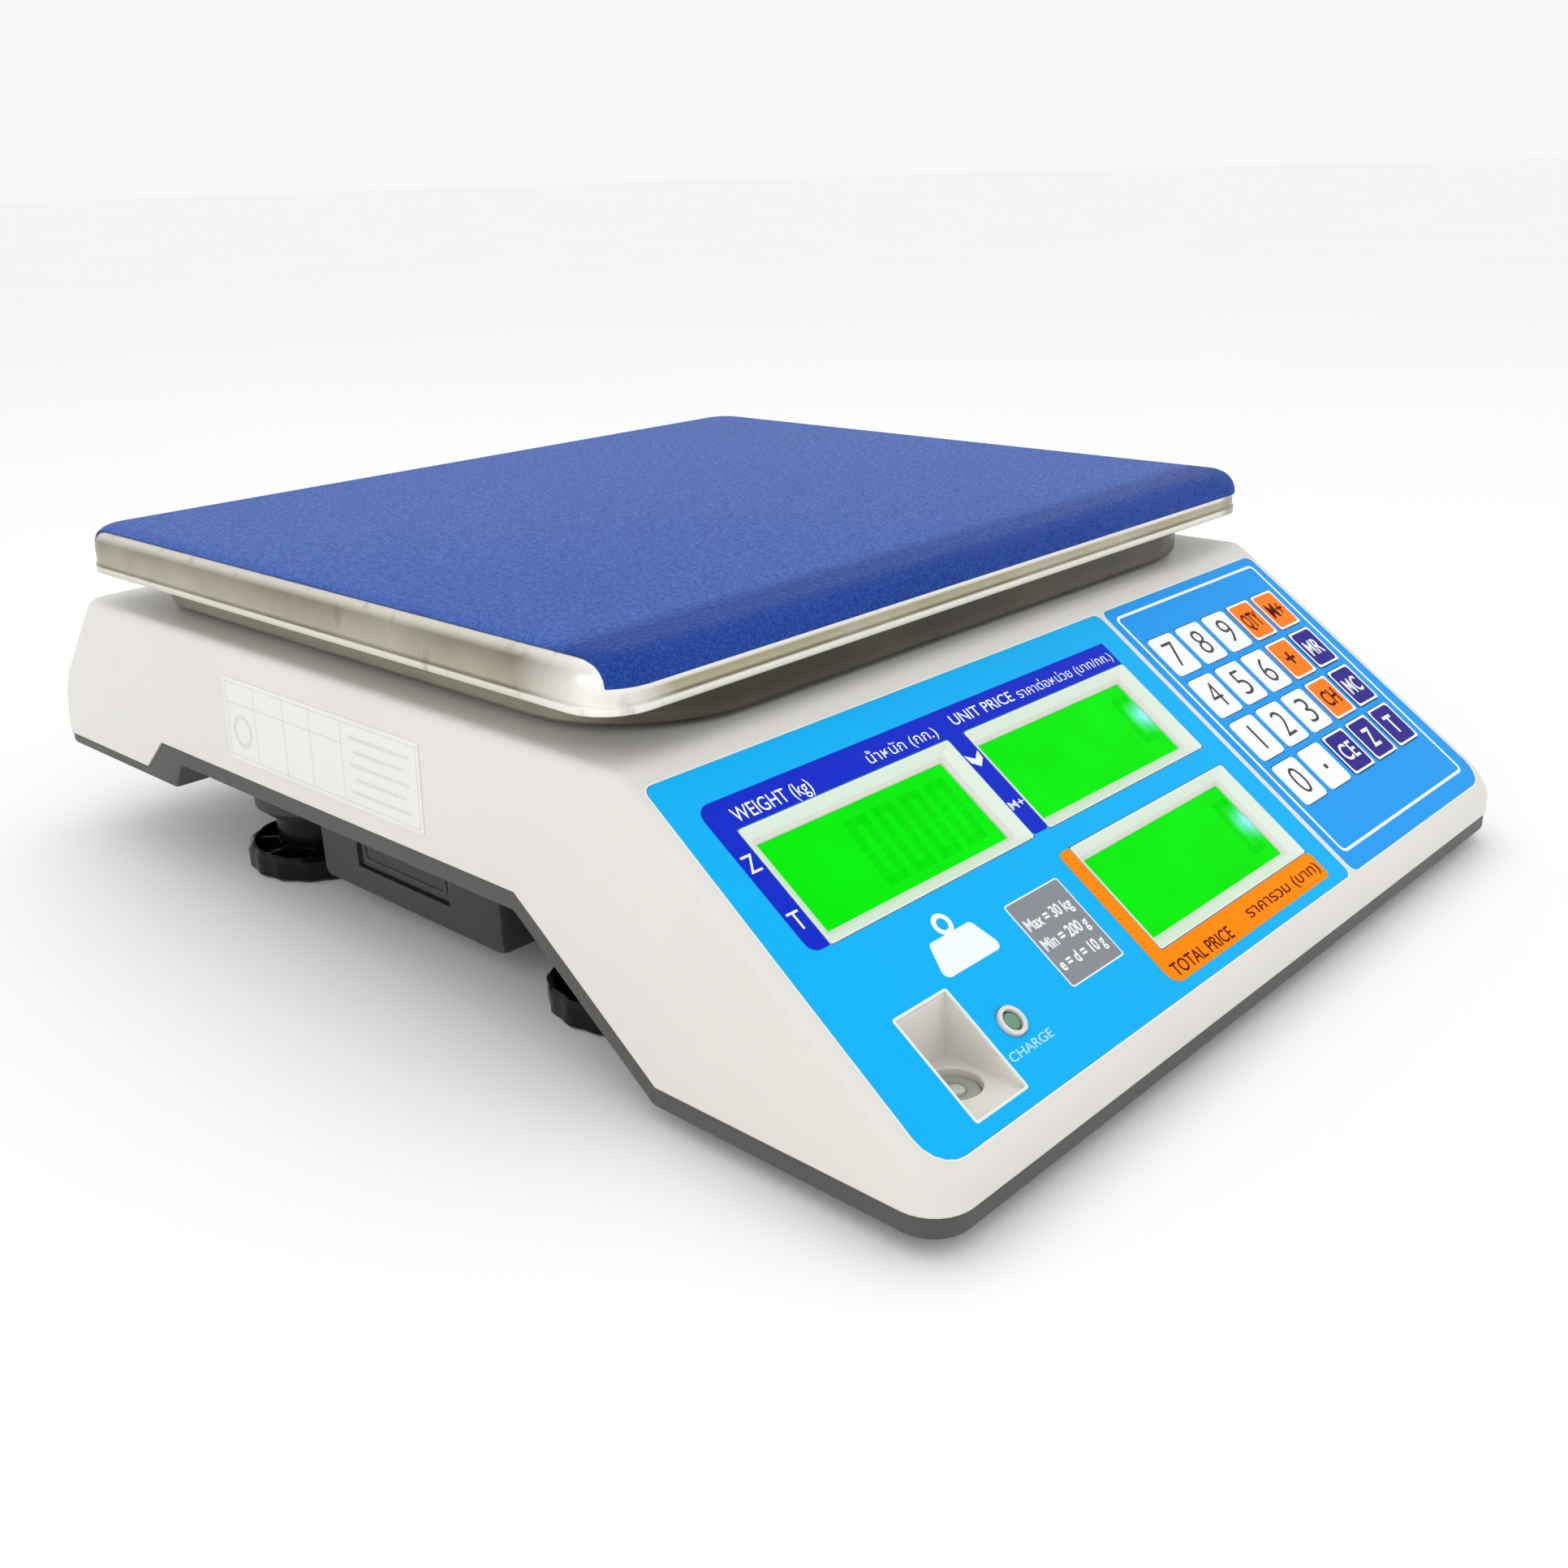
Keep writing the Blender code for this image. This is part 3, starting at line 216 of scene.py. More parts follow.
def lit_display(name, hot_spot=None, strength=GLOW_LIGHT):
    """Green backlit display, with a pale glow where its lamp sits."""
    s = Shader(name)
    base = s.mix(s.remap(s.noise(60.0, 2.0), 0.3, 0.7), colour(0, 236, 4), colour(0, 246, 6))
    if hot_spot:
        away = s.node("ShaderNodeVectorMath", operation="DISTANCE")
        s.link(s.place, away.inputs[0])
        away.inputs[1].default_value = hot_spot
        near = s.remap(away.outputs["Value"], 7.5 * MM, 1.2 * MM)
        near = s.times(near, near)
        base = s.mix(near, base, colour(150, 255, 255))
    s.link(base, s.main.inputs["Emission Color"])
    s.main.inputs["Emission Strength"].default_value = strength
    s.main.inputs["Base Color"].default_value = (0.0, 0.04, 0.0, 1.0)
    s.main.inputs["Specular IOR Level"].default_value = 0.03
    s.link(s.remap(s.noise(900.0, 2.0), 0.3, 0.7, 0.25, 0.4), s.main.inputs["Roughness"])
    s.link(s.bump(s.noise(700.0, 2.0), 0.003 * MM), s.main.inputs["Normal"])
    return s.material


def pan_film():
    """Pebbled protective film, darker along the front edge."""
    s = Shader("film_pebbled")
    cells = s.noise(620.0, 5.0)
    specks = s.remap(s.noise(1500.0, 3.0), 0.42, 0.66)
    top = s.mix(specks, colour(43, 76, 155), colour(76, 114, 194))
    lip = s.mix(specks, colour(16, 52, 130), colour(38, 78, 164))
    front_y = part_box("pan_film")[0].y
    strip = s.remap(s.axis("Y"), front_y + 16 * MM, front_y + 24 * MM)
    tone = s.mix(strip, lip, top)
    drift = s.remap(s.noise(9.0, 3.0), 0.35, 0.65)
    tone = s.mix(s.remap(drift, 0.0, 1.0, 0.0, 0.25), tone, colour(50, 80, 170))
    s.link(tone, s.main.inputs["Base Color"])
    s.link(s.remap(cells, 0.3, 0.7, 0.42, 0.7), s.main.inputs["Roughness"])
    s.link(s.bump(cells, 0.12 * MM), s.main.inputs["Normal"])
    s.main.inputs["Specular IOR Level"].default_value = 0.12
    return s.material


# Painted light on the pan's steel: painted highlights on the hem and the top bend, a painted shade
# line just above the hem and painted darker reflections between.
SKIRT_TONES = (                       # up the pan's skirt, from the hem to the top bend
    (0.0, colour(206, 200, 186)), (0.12, colour(226, 222, 210)), (0.16, colour(96, 88, 74)),
    (0.22, colour(168, 160, 142)), (0.50, colour(152, 144, 128)), (0.74, colour(132, 124, 108)),
    (0.86, colour(210, 206, 194)), (1.0, colour(236, 233, 226)),
)
# Along the front: the same painted highlights, shade line and darker reflections, and a painted
# highlight from below the film's edge upwards.
FRONT_TONES = (                       # the same along the front, where the film ends lower down
    (0.0, colour(206, 202, 188)), (0.12, colour(240, 238, 228)), (0.17, colour(104, 98, 78)),
    (0.23, colour(178, 170, 144)), (0.36, colour(166, 158, 130)), (0.42, colour(238, 236, 228)),
    (1.0, colour(242, 240, 232)),
)
# Painted reflections in bands up the tray's side.
CARRIER_TONES = (                     # up the side of the tray under the pan
    (0.0, colour(96, 91, 76)), (0.08, colour(140, 135, 118)), (0.26, colour(186, 182, 166)),
    (0.33, colour(100, 95, 80)), (0.40, colour(176, 171, 154)), (0.60, colour(120, 114, 98)),
    (0.85, colour(150, 145, 130)), (1.0, colour(176, 172, 158)),
)


def carrier_sheet():
    """Formed tray under the pan: painted reflections in bands along its side, and painted shade along
    its front under the pan.
    """
    s = Shader("carrier_painted_light")
    low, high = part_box("pan_carrier")
    # painted reflections in bands up the side
    bands = s.ramp(s.remap(s.axis("Z"), low.z, high.z), CARRIER_TONES)
    # painted shade along the front of the tray, under the pan
    front = s.remap(s.axis("Y"), low.y + 30 * MM, low.y + 4 * MM, 0.0, 0.88)
    tone = s.mix(front, bands, colour(40, 37, 27))
    tone = s.mix(s.remap(s.noise(26.0, 3.0), 0.4, 0.7, 0.0, 0.25), tone, colour(112, 106, 88))
    s.link(tone, s.main.inputs["Base Color"])
    drawn = s.noise(300.0, 2.0, (0.1, 0.1, 5.0))
    soft_normal, _ = s.edges(0.4 * MM)
    s.link(s.remap(drawn, 0.3, 0.7, 0.24, 0.4), s.main.inputs["Roughness"])
    s.link(s.bump(drawn, 0.006 * MM, soft_normal), s.main.inputs["Normal"])
    s.main.inputs["Metallic"].default_value = 0.7
    return s.material


def satin_steel():
    """Bent stainless sheet with drawn grain and scuffs near both ends, and painted light: a painted
    highlight on the hem with a painted shade line in the groove above it, a painted highlight on
    the front corner at the left and a painted darker reflection on a stretch at the right."""
    s = Shader("steel_satin")
    low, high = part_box("weighing_pan")
    scuff = s.remap(s.noise(150.0, 6.0, (1.0, 1.0, 0.5)), 0.60, 0.74, 0.0, 0.45)
    mirrored = s.node("ShaderNodeVectorMath", operation="ABSOLUTE")
    s.link(s.place, mirrored.inputs[0])
    aside = s.axis("X", mirrored.outputs["Vector"])
    near_end = s.remap(aside, high.x - 32 * MM, high.x - 2 * MM)
    height = s.remap(s.axis("Z"), low.z, high.z)
    front = s.remap(s.axis("Y"), low.y + 9 * MM, low.y + 3 * MM)
    # painted highlights, shade line and darker reflections by height, with the front's own set along
    # the front
    tone = s.mix(front, s.ramp(height, SKIRT_TONES), s.ramp(height, FRONT_TONES))
    tone = s.mix(s.remap(s.noise(22.0, 4.0), 0.4, 0.75, 0.0, 0.3), tone, colour(222, 216, 202))
    # zone along the front that carries the painted highlight at the left and the painted darker
    # reflection at the right
    painted_front_zone = s.remap(s.axis("Y"), low.y + 34 * MM, low.y + 10 * MM, 0.0, 0.8)
    left_end = s.remap(s.axis("X"), low.x + 22 * MM, low.x + 8 * MM)
    tone = s.mix(s.times(left_end, painted_front_zone), tone, colour(246, 244, 238))
    # painted darker reflection on the front at the right end
    right_end = s.remap(s.axis("X"), high.x - 19 * MM, high.x - 14 * MM)
    tone = s.mix(s.times(right_end, painted_front_zone), tone, colour(150, 146, 134))
    tone = s.mix(s.times(scuff, near_end), tone, colour(110, 102, 88))
    s.link(tone, s.main.inputs["Base Color"])
    drawn = s.noise(500.0, 2.0, (0.15, 0.15, 6.0))
    soft_normal, _ = s.edges(0.5 * MM)
    s.link(s.remap(drawn, 0.3, 0.7, 0.26, 0.42), s.main.inputs["Roughness"])
    s.link(s.bump(drawn, 0.01 * MM, soft_normal), s.main.inputs["Normal"])
    s.main.inputs["Metallic"].default_value = 0.85
    return s.material


def key_cap(name, base, wear, rough=0.42, shade=0.95, specular=0.1):
    return surface(name, base, rough, grain=1300, depth=0.006, shade=shade, wear=wear, radius=0.15,
                   specular=specular)


def printed_sheet(name, base, wear):
    return surface(name, base, 0.42, grain=1500, depth=0.005, shade=0.975, wear=wear, radius=0.12,
                   specular=0.1)


def ink(name, base, rough=0.42, depth=0.004, shade=0.95, specular=0.5):
    return surface(name, base, rough, grain=1500, depth=depth, shade=shade, radius=0.1,
                   specular=specular)


finishes = {
    "white_plastic": surface("body_white", colour(222, 219, 213), 0.38, grain=1400, depth=0.012,
                             shade=0.965, wear=colour(240, 238, 232), radius=0.5),
    "grey_plastic": surface("band_grey", colour(84, 82, 80), 0.5, grain=1100, depth=0.05, shade=0.8,
                            wear=colour(122, 119, 113), radius=0.4, specular=0.35,
                            low_tone=colour(54, 57, 58)),
    "black_plastic": surface("knob_black", colour(9, 9, 11), 0.24, grain=900, depth=0.008, shade=0.8,
                             wear=colour(40, 40, 46), specular=0.2),
    "steel": satin_steel(),
    "aluminium": surface("cell_alloy", colour(196, 197, 200), 0.35, metal=1.0, grain=600, depth=0.01,
                         wear=colour(225, 226, 228), stretch=(1, 8, 1)),
    "zinc_steel": surface("plated_steel", colour(170, 172, 176), 0.38, metal=1.0, grain=260,
                          depth=0.01, shade=0.8, wear=colour(210, 212, 214)),
    "blue_film": pan_film(),
    "lcd_green": lit_display("display_lit"),
    "board_green": surface("board_lacquer", colour(24, 92, 52), 0.35, grain=400, depth=0.02,
                           wear=colour(120, 130, 96)),
    "key_white": key_cap("key_white", colour(244, 246, 248), colour(252, 252, 252), 0.34, 0.985, 0.5),
    "key_orange": key_cap("key_orange", colour(255, 128, 4), colour(255, 176, 110)),
    "key_navy": key_cap("key_navy", colour(42, 28, 138), colour(110, 104, 190), shade=0.93),
    "rubber": surface("rubber_black", colour(34, 34, 34), 0.75, grain=700, depth=0.04,
                      wear=colour(60, 60, 60)),
    "clear_acrylic": surface("vial_tinted", colour(168, 172, 160), 0.12, grain=300, depth=0.004,
                             shade=0.75, blotch=90, coat=0.5, wear=colour(214, 218, 206)),
    "battery_grey": surface("battery_case", colour(70, 70, 74), 0.45, grain=700, depth=0.03,
                            wear=colour(110, 110, 112)),
    "display_sheet": printed_sheet("sheet_cyan", colour(0, 176, 244), colour(120, 214, 255)),
    "keypad_sheet": printed_sheet("sheet_azure", colour(24, 154, 238), colour(130, 205, 250)),
    "royal": ink("print_royal", colour(2, 38, 200), specular=0.1),
    "orange": ink("print_orange", colour(255, 139, 0), 0.46, shade=0.96, specular=0.05),
    "plate_grey": ink("print_grey", colour(128, 134, 140), 0.40),
    "print_white": ink("print_white", colour(238, 246, 250), 0.38, shade=0.97),
    "print_pale": ink("print_pale", colour(176, 226, 250), shade=0.97, specular=0.1),
    "print_dark": ink("print_dark", colour(34, 34, 40), 0.40, shade=0.9),
    "print_brown": ink("print_brown", colour(98, 16, 0), 0.50, 0.002, 0.9, 0.05),
    # Pale lining of the display windows; the same finish makes the painted highlight strips round the
    # sheets and the level pocket.
    "rim": surface("rim_pale", colour(228, 236, 227), 0.40, grain=1200, depth=0.008, shade=0.98,
                   wear=colour(250, 252, 248), radius=0.25),
    "carrier": carrier_sheet(),
    "sticker": surface("sticker_foil", colour(231, 229, 223), 0.36, metal=0.1, grain=500,
                       depth=0.0006, shade=0.98, radius=0.03),
    "sticker_line": surface("sticker_line", colour(217, 216, 211), 0.3, grain=900, depth=0.002,
                            radius=0.02),
    "lens": surface("lens_green", colour(96, 150, 118), 0.14, grain=500, depth=0.004, shade=0.8,
                    coat=0.6, wear=colour(190, 220, 200)),
    "bubble": surface("bubble_clear", colour(196, 201, 192), 0.12, grain=300, depth=0.002,
                      shade=0.95, coat=1.0, radius=0.2),
    "ghost": lit_display("display_ghost", strength=GHOST_LIGHT),
}


# ---- pieces ----------------------------------------------------------------
def on_panel(x, s, height=0.0):
    """Point of the panel: x across and s down the slope in millimetres, height in metres."""
    return PANEL @ Vector((x * MM, -s * MM, height))


def panel_place(node):
    """Middle of a CAD node, as x and s on the panel in millimetres."""
    low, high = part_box(node)
    middle = PANEL.inverted() @ ((low + high) / 2)
    return middle.x / MM, -middle.y / MM


def rounded(corners, steps=5):
    """Outline through corners (x, s, radius), in millimetres, with its corners rounded."""
    points = []
    count = len(corners)
    for i, (x, s, radius) in enumerate(corners):
        here = Vector((x, s))
        before = Vector(corners[i - 1][:2])
        after = Vector(corners[(i + 1) % count][:2])
        if radius == 0:
            points.append(here)
            continue
        inward = (before - here).normalized()
        outward = (after - here).normalized()
        half = inward.angle(outward) / 2
        reach = radius / math.tan(half)
        first = here + inward * reach
        last = here + outward * reach
        centre = here + (inward + outward).normalized() * radius / math.sin(half)
        start = first - centre
        sweep = start.angle_signed(last - centre)
        for k in range(steps + 1):
            turned = start.copy()
            turned.rotate(Matrix.Rotation(-sweep * k / steps, 2))
            points.append(centre + turned)
    return points


def rectangle(x, s, width, height, radius):
    """Rounded rectangle about its middle."""
    x0, x1 = x - width / 2, x + width / 2
    s0, s1 = s - height / 2, s + height / 2
    return rounded([(x0, s0, radius), (x1, s0, radius), (x1, s1, radius), (x0, s1, radius)])


def ring(radius, count=32, x=0.0, s=0.0):
    """Circle in millimetres, as that many points."""
    turn = 2 * math.pi / count
    return [Vector((x + radius * math.cos(turn * i), s + radius * math.sin(turn * i)))
            for i in range(count)]


def put(name, bm, body, finish, matrix=None):
    """Turns a closed bmesh into a piece that rides on a body."""
    bmesh.ops.recalc_face_normals(bm, faces=bm.faces)
    mesh = bpy.data.meshes.new(name)
    bm.to_mesh(mesh)
    bm.free()
    if matrix:
        mesh.transform(matrix)
    piece = bpy.data.objects.new(name, mesh)
    bpy.context.scene.collection.objects.link(piece)
    mesh.materials.append(finishes[finish])
    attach(piece, body)
    return piece


def loft(loops, closed=False):
    """Solid through loops of equal length; closed joins the last loop to the first."""
    bm = bmesh.new()
    rows = [[bm.verts.new(p) for p in loop] for loop in loops]
    pairs = list(zip(rows, rows[1:]))
    if closed:
        pairs.append((rows[-1], rows[0]))
    else:
        bm.faces.new(rows[0])
        bm.faces.new(rows[-1])
    for low, high in pairs:
        for i in range(len(low)):
            j = (i + 1) % len(low)
            bm.faces.new((low[i], low[j], high[j], high[i]))
    return bm


def at(outline, height):
    """Outline in millimetres to points of the face it lies on, at a height over that face."""
    return [Vector((p.x * MM, -p.y * MM, height)) for p in outline]


def print_shape(name, outline, finish, body="housing", low=PRINT_LOW, top=PRINT_TOP,
                matrix=PANEL):
    """Thin plate of an outline."""
    return put(name, loft([at(outline, low), at(outline, top)]), body, finish, matrix)


def print_frame(name, outer, inner, finish, body="housing", low=PRINT_LOW, top=PRINT_TOP,
                matrix=PANEL):
    """Line between two outlines of equal length, as a closed ring."""
    loops = [at(outer, low), at(outer, top), at(inner, top), at(inner, low)]
    return put(name, loft(loops, closed=True), body, finish, matrix)


def text_mesh(words, weight):
    """Mesh of a line of lettering 1 unit deep, that starts at the origin and stands on the x axis."""
    curve = bpy.data.curves.new("lettering", "FONT")
    curve.body = words
    curve.extrude = 0.5
    curve.offset = weight
    curve.resolution_u = 4
    maker = bpy.data.objects.new("lettering", curve)
    bpy.context.scene.collection.objects.link(maker)
    bpy.context.view_layer.update()
    mesh = bpy.data.meshes.new_from_object(maker)
    bpy.data.objects.remove(maker)
    bpy.data.curves.remove(curve)
    return mesh


def cap_height():
    """Height of a capital letter in letter units."""
    mesh = text_mesh("H", 0.0)
    tops = [v.co.y for v in mesh.vertices]
    bpy.data.meshes.remove(mesh)
    return max(tops) - min(tops)


CAP = cap_height()
DIGIT_HALF = 0.20                     # half the width of a digit, in letter units


def lettering(name, words, x0, x1, baseline, cap, finish, body="housing",
              low=PRINT_LOW, top=PRINT_TOP, matrix=PANEL, weight=0.0):
    """Line of lettering from x0 to x1, standing on the baseline, in millimetres; weight thickens
    its strokes. A lone digit 1 is fitted as if it were as wide as the others, so it stays narrow."""
    mesh = text_mesh(words, weight)
    left = min(v.co.x for v in mesh.vertices)
    right = max(v.co.x for v in mesh.vertices)
    if words == "1":
        middle = (left + right) / 2
        left, right = middle - DIGIT_HALF, middle + DIGIT_HALF
    bm = bmesh.new()
    bm.from_mesh(mesh)
    bpy.data.meshes.remove(mesh)
    bmesh.ops.remove_doubles(bm, verts=bm.verts, dist=1e-5)
    across = (x1 - x0) / (right - left) * MM
    up = cap / CAP * MM
    for v in bm.verts:
        v.co = Vector((x0 * MM + (v.co.x - left) * across, -baseline * MM + v.co.y * up,
                       (low + top) / 2 + v.co.z * (top - low)))
    return put(name, bm, body, finish, matrix)


# ---- CAD nodes -------------------------------------------------------------
def smoothing_group():
    """Modifier group: welds split corners and shades soft curves smooth."""
    group = bpy.data.node_groups.new("soft_shading", "GeometryNodeTree")
    group.interface.new_socket("Geometry", in_out="INPUT", socket_type="NodeSocketGeometry")
    group.interface.new_socket("Geometry", in_out="OUTPUT", socket_type="NodeSocketGeometry")
    nodes = group.nodes
    start = nodes.new("NodeGroupInput")
    end = nodes.new("NodeGroupOutput")
    strip = nodes.new("GeometryNodeRemoveAttribute")
    strip.inputs["Name"].default_value = "custom_normal"
    weld = nodes.new("GeometryNodeMergeByDistance")
    weld.inputs["Distance"].default_value = 1e-6
    faces = nodes.new("GeometryNodeSetShadeSmooth")
    faces.domain = "FACE"
    faces.inputs["Shade Smooth"].default_value = True
    sharp = nodes.new("GeometryNodeSetShadeSmooth")
    sharp.domain = "EDGE"
    sharp.inputs["Shade Smooth"].default_value = False
    angle = nodes.new("GeometryNodeInputMeshEdgeAngle")
    above = nodes.new("ShaderNodeMath")
    above.operation = "GREATER_THAN"
    above.inputs[1].default_value = SHARP_ANGLE
    chain = (start, strip, weld, faces, sharp, end)
    for first, second in zip(chain, chain[1:]):
        group.links.new(first.outputs[0], second.inputs[0])
    group.links.new(angle.outputs["Unsigned Angle"], above.inputs[0])
    group.links.new(above.outputs[0], sharp.inputs["Selection"])
    return group


def finish_cad():
    """Gives each CAD node its finish and soft shading, and the price displays their glow."""
    special = {"display_overlay": "display_sheet", "keypad_overlay": "keypad_sheet",
               "rear_overlay": "display_sheet", "pan_carrier": "carrier", "charge_led": "lens"}
    group = smoothing_group()
    for name, node in NODES.items():
        usual = node.data.materials[0].name.split(".")[0]
        finish = finishes[special.get(name, usual)]
        for place in node.material_slots:
            place.material = finish
        modifier = node.modifiers.new("soft_shading", "NODES")
        modifier.node_group = group
    for label, (x, s) in GLOWS.items():
        spot = tuple(on_panel(x, s, -LCD_DEPTH))
        glass = NODES[f"{label}_price_lcd"]
        glass.material_slots[0].material = lit_display(f"display_lit_{label}", spot)
        finishes[f"ghost_{label}"] = lit_display(f"display_ghost_{label}", spot, GHOST_LIGHT)


# ---- printed panel ---------------------------------------------------------
def royal_band():
    """Band over the weight and unit price windows, with a leg down the left of each."""
    left, leg_right, right = -136.3, -130.3, 37.4
    stem_left, stem_right = -49.5, -42.9
    top, low, foot = 16.8, 25.5, 60.5
    outline = [(left, top, 4), (right, top, 0.6), (right, low, 0), (stem_right, low, 0),
               (stem_right, foot, 1.2), (stem_left, foot, 1.2), (stem_left, low + 0.2, 0),
               (leg_right, low + 0.2, 0), (leg_right, foot + 0.4, 0.5), (left, foot + 0.4, 3)]
    print_shape("royal_band", rounded(outline), "royal")


def orange_band():
    """Band under the total price window, with a leg up its left."""
    left, leg_right, right = -47.9, -42.6, 38.8
    top, low, foot = 68.1, 103.4, 112.5
    outline = [(left, top, 2), (leg_right, top, 0.5), (leg_right, low, 0), (right, low, 2),
               (right, foot, 2), (left, foot, 4)]
    print_shape("orange_band", rounded(outline), "orange")


def printed_bands():
    royal_band()
    orange_band()
    x, s, width, height, line = -66.1, 86.0, 23.0, 25.8, 0.4
    inner = rectangle(x, s, width - 2 * line, height - 2 * line, 0.6)
    print_shape("rating_field", inner, "plate_grey")
    print_frame("rating_border", rectangle(x, s, width, height, 0.9), inner, "print_white")
    x, s, width, height, line = 97.0, 60.05, 89.0, 99.5, 1.0
    print_frame("keypad_line", rectangle(x, s, width, height, 2.5),
                rectangle(x, s, width - 2 * line, height - 2 * line, 1.5), "print_white")


def captions():
    lines = (                         # name, words, left, right, baseline, height, ink, weight
        ("caption_weight", "WEIGHT (kg)", -128.2, -101.4, 24.3, 4.0, "print_white", 0.004),
        ("caption_weight_second", "น้ำหนัก (กก.)", -79.3, -51.2, 23.8, 3.2, "print_white", 0.0),
        ("caption_unit", "UNIT PRICE", -43.3, -15.2, 23.0, 3.4, "print_white", 0.006),
        ("caption_unit_second", "ราคาต่อหน่วย (บาท/กก.)", -12.8, 35.8, 23.2, 3.0, "print_white", 0.0),
        ("caption_total", "TOTAL PRICE", -44.8, -15.1, 111.0, 3.6, "print_brown", 0.008),
        ("caption_total_second", "ราคารวม (บาท)", -4.4, 37.0, 109.6, 3.2, "print_brown", 0.004),
        ("mark_zero", "Z", -135.2, -131.4, 37.6, 5.0, "print_white", 0.0),
        ("mark_tare", "T", -135.2, -131.4, 54.8, 5.0, "print_white", 0.0),
        ("mark_memory", "M+", -49.2, -43.2, 52.0, 2.6, "print_white", 0.008),
    )
    for name, words, x0, x1, baseline, cap, finish, weight in lines:
        lettering(name, words, x0, x1, baseline, cap, finish, low=OVER_LOW, top=OVER_TOP,
                  weight=weight)
    lettering("caption_charge", "CHARGE", -109.9, -93.5, 105.6, 2.3, "print_pale", weight=0.005)
    first_baseline, pitch = 82.0, 6.2
    for row, words in enumerate(("Max = 30 kg", "Min = 200 g", "e = d = 10 g")):
        lettering(f"rating_line_{row}", words, -76.0, -57.0, first_baseline + pitch * row, 3.2,
                  "print_white", low=OVER_LOW, top=OVER_TOP, weight=0.025)
    arrow = [(-49.3, 32.2, 0), (-46.4, 34.3, 0), (-43.5, 32.2, 0), (-43.7, 34.8, 0),
             (-46.5, 37.0, 0), (-48.9, 35.0, 0)]
    print_shape("mark_arrow", rounded(arrow), "print_white", low=OVER_LOW,
                top=OVER_TOP)


def window_rim(name, x, s, lip, view, depth, matrix):
    """Thin lining of the walls round a display, from its lip down to the glass."""
    skin = 0.06 * MM
    buried = -0.6 * MM
    lip_out = rectangle(x, s, lip[0] + 0.5, lip[1] + 0.5, 0.9)
    lip_in = rectangle(x, s, lip[0] - 0.3, lip[1] - 0.3, 0.7)
    foot = rectangle(x, s, view[0] - 0.05, view[1] - 0.05, 0.5)
    loops = [at(lip_out, buried), at(lip_out, skin), at(lip_in, skin), at(foot, -depth + skin),
             at(foot, -depth - skin), at(lip_in, -3 * skin)]
    put(name, loft(loops, closed=True), "housing", "rim", matrix)


def sheet_outline(side, grow):
    """Outline of a printed sheet, grown by millimetres. side is -1 for the displays, 1 for the
    keys; the outer edge follows the wall's draft."""
    top, foot = 6.7 - grow, 115.9 + grow
    rib_x, half_rib, outer_x, outer_draft = 48.2, 0.8, 144.7, 0.028
    small, large = 3.0 + grow, 9.0 + grow
    inner = rib_x + side * (half_rib - grow)
    outer_top, outer_foot = [side * (outer_x + outer_draft * s + grow) for s in (top, foot)]
    return rounded([(outer_top, top, small), (inner, top, small), (inner, foot, small),
                    (outer_foot, foot, large)])


def sheet_edging():
    """Pale strips round the two sheets and the level pocket, laid over the gaps at their edges: a
    painted highlight along the housing's lip.
    """
    # painted highlight strips round the two sheets
    for label, side in (("display", -1), ("keypad", 1)):
        print_frame(f"{label}_painted_highlight", sheet_outline(side, 0.4), sheet_outline(side, -0.2), "rim",
                    low=-0.5 * MM, top=0.04 * MM)
    # painted highlight strip round the level pocket
    x, s, width, height, line = -120.85, 97.35, 19.7, 29.1, 0.75
    print_frame("level_painted_highlight", rectangle(x, s, width, height, 0.9),
                rectangle(x, s, width - 2 * line, height - 2 * line, 0.4), "rim",
                low=-0.65 * MM, top=0.08 * MM)


def window_rims():
    for label, (x, s) in WINDOWS.items():
        window_rim(f"window_rim_{label}", x, s, (WINDOW_W, WINDOW_H), (VIEW_W, VIEW_H), LCD_DEPTH,
                   PANEL)
    for label, x in REAR_WINDOWS.items():
        window_rim(f"rear_rim_{label}", x, REAR_VIEW_S, (REAR_VIEW_W, REAR_VIEW_H),
                   (REAR_VIEW_W - 0.4, REAR_VIEW_H - 0.4), REAR_DEPTH - 0.1 * MM, REAR)


# ---- displays --------------------------------------------------------------
def zero_strokes(width, height, thick):
    """Corner boxes of a zero's six strokes, from its lower left corner: top, upper right, lower
    right, bottom, lower left and upper left."""
    gap = thick * 0.12
    half = height / 2
    return (
        (gap, height - thick, width - gap, height),
        (width - thick, half + gap, width, height - gap),
        (width - thick, gap, width, half - gap),
        (gap, 0, width - gap, thick),
        (0, gap, thick, half - gap),
        (0, half + gap, thick, height - gap),
    )


def display_zeros(name, count, x, s, size, pitch, matrix, depth, finish="ghost"):
    """Faint zeros of a display, slightly slanted, as one piece of separate strokes."""
    width, height = size
    lean = 0.08
    thick = height * 0.13
    sunk = 0.05 * MM
    bottom = s + height / 2
    faces = ((0, 1, 2, 3), (7, 6, 5, 4), (0, 4, 5, 1), (1, 5, 6, 2), (2, 6, 7, 3), (3, 7, 4, 0))
    bm = bmesh.new()
    for place in range(count):
        left = x + place * pitch
        for x0, y0, x1, y1 in zero_strokes(width, height, thick):
            corners = []
            for level in (depth - sunk, depth + sunk):
                for px, py in ((x0, y0), (x1, y0), (x1, y1), (x0, y1)):
                    spot = Vector(((left + px + lean * py) * MM, (-bottom + py) * MM, level))
                    corners.append(bm.verts.new(spot))
            for face in faces:
                bm.faces.new([corners[i] for i in face])
    return put(name, bm, "housing", finish, matrix)


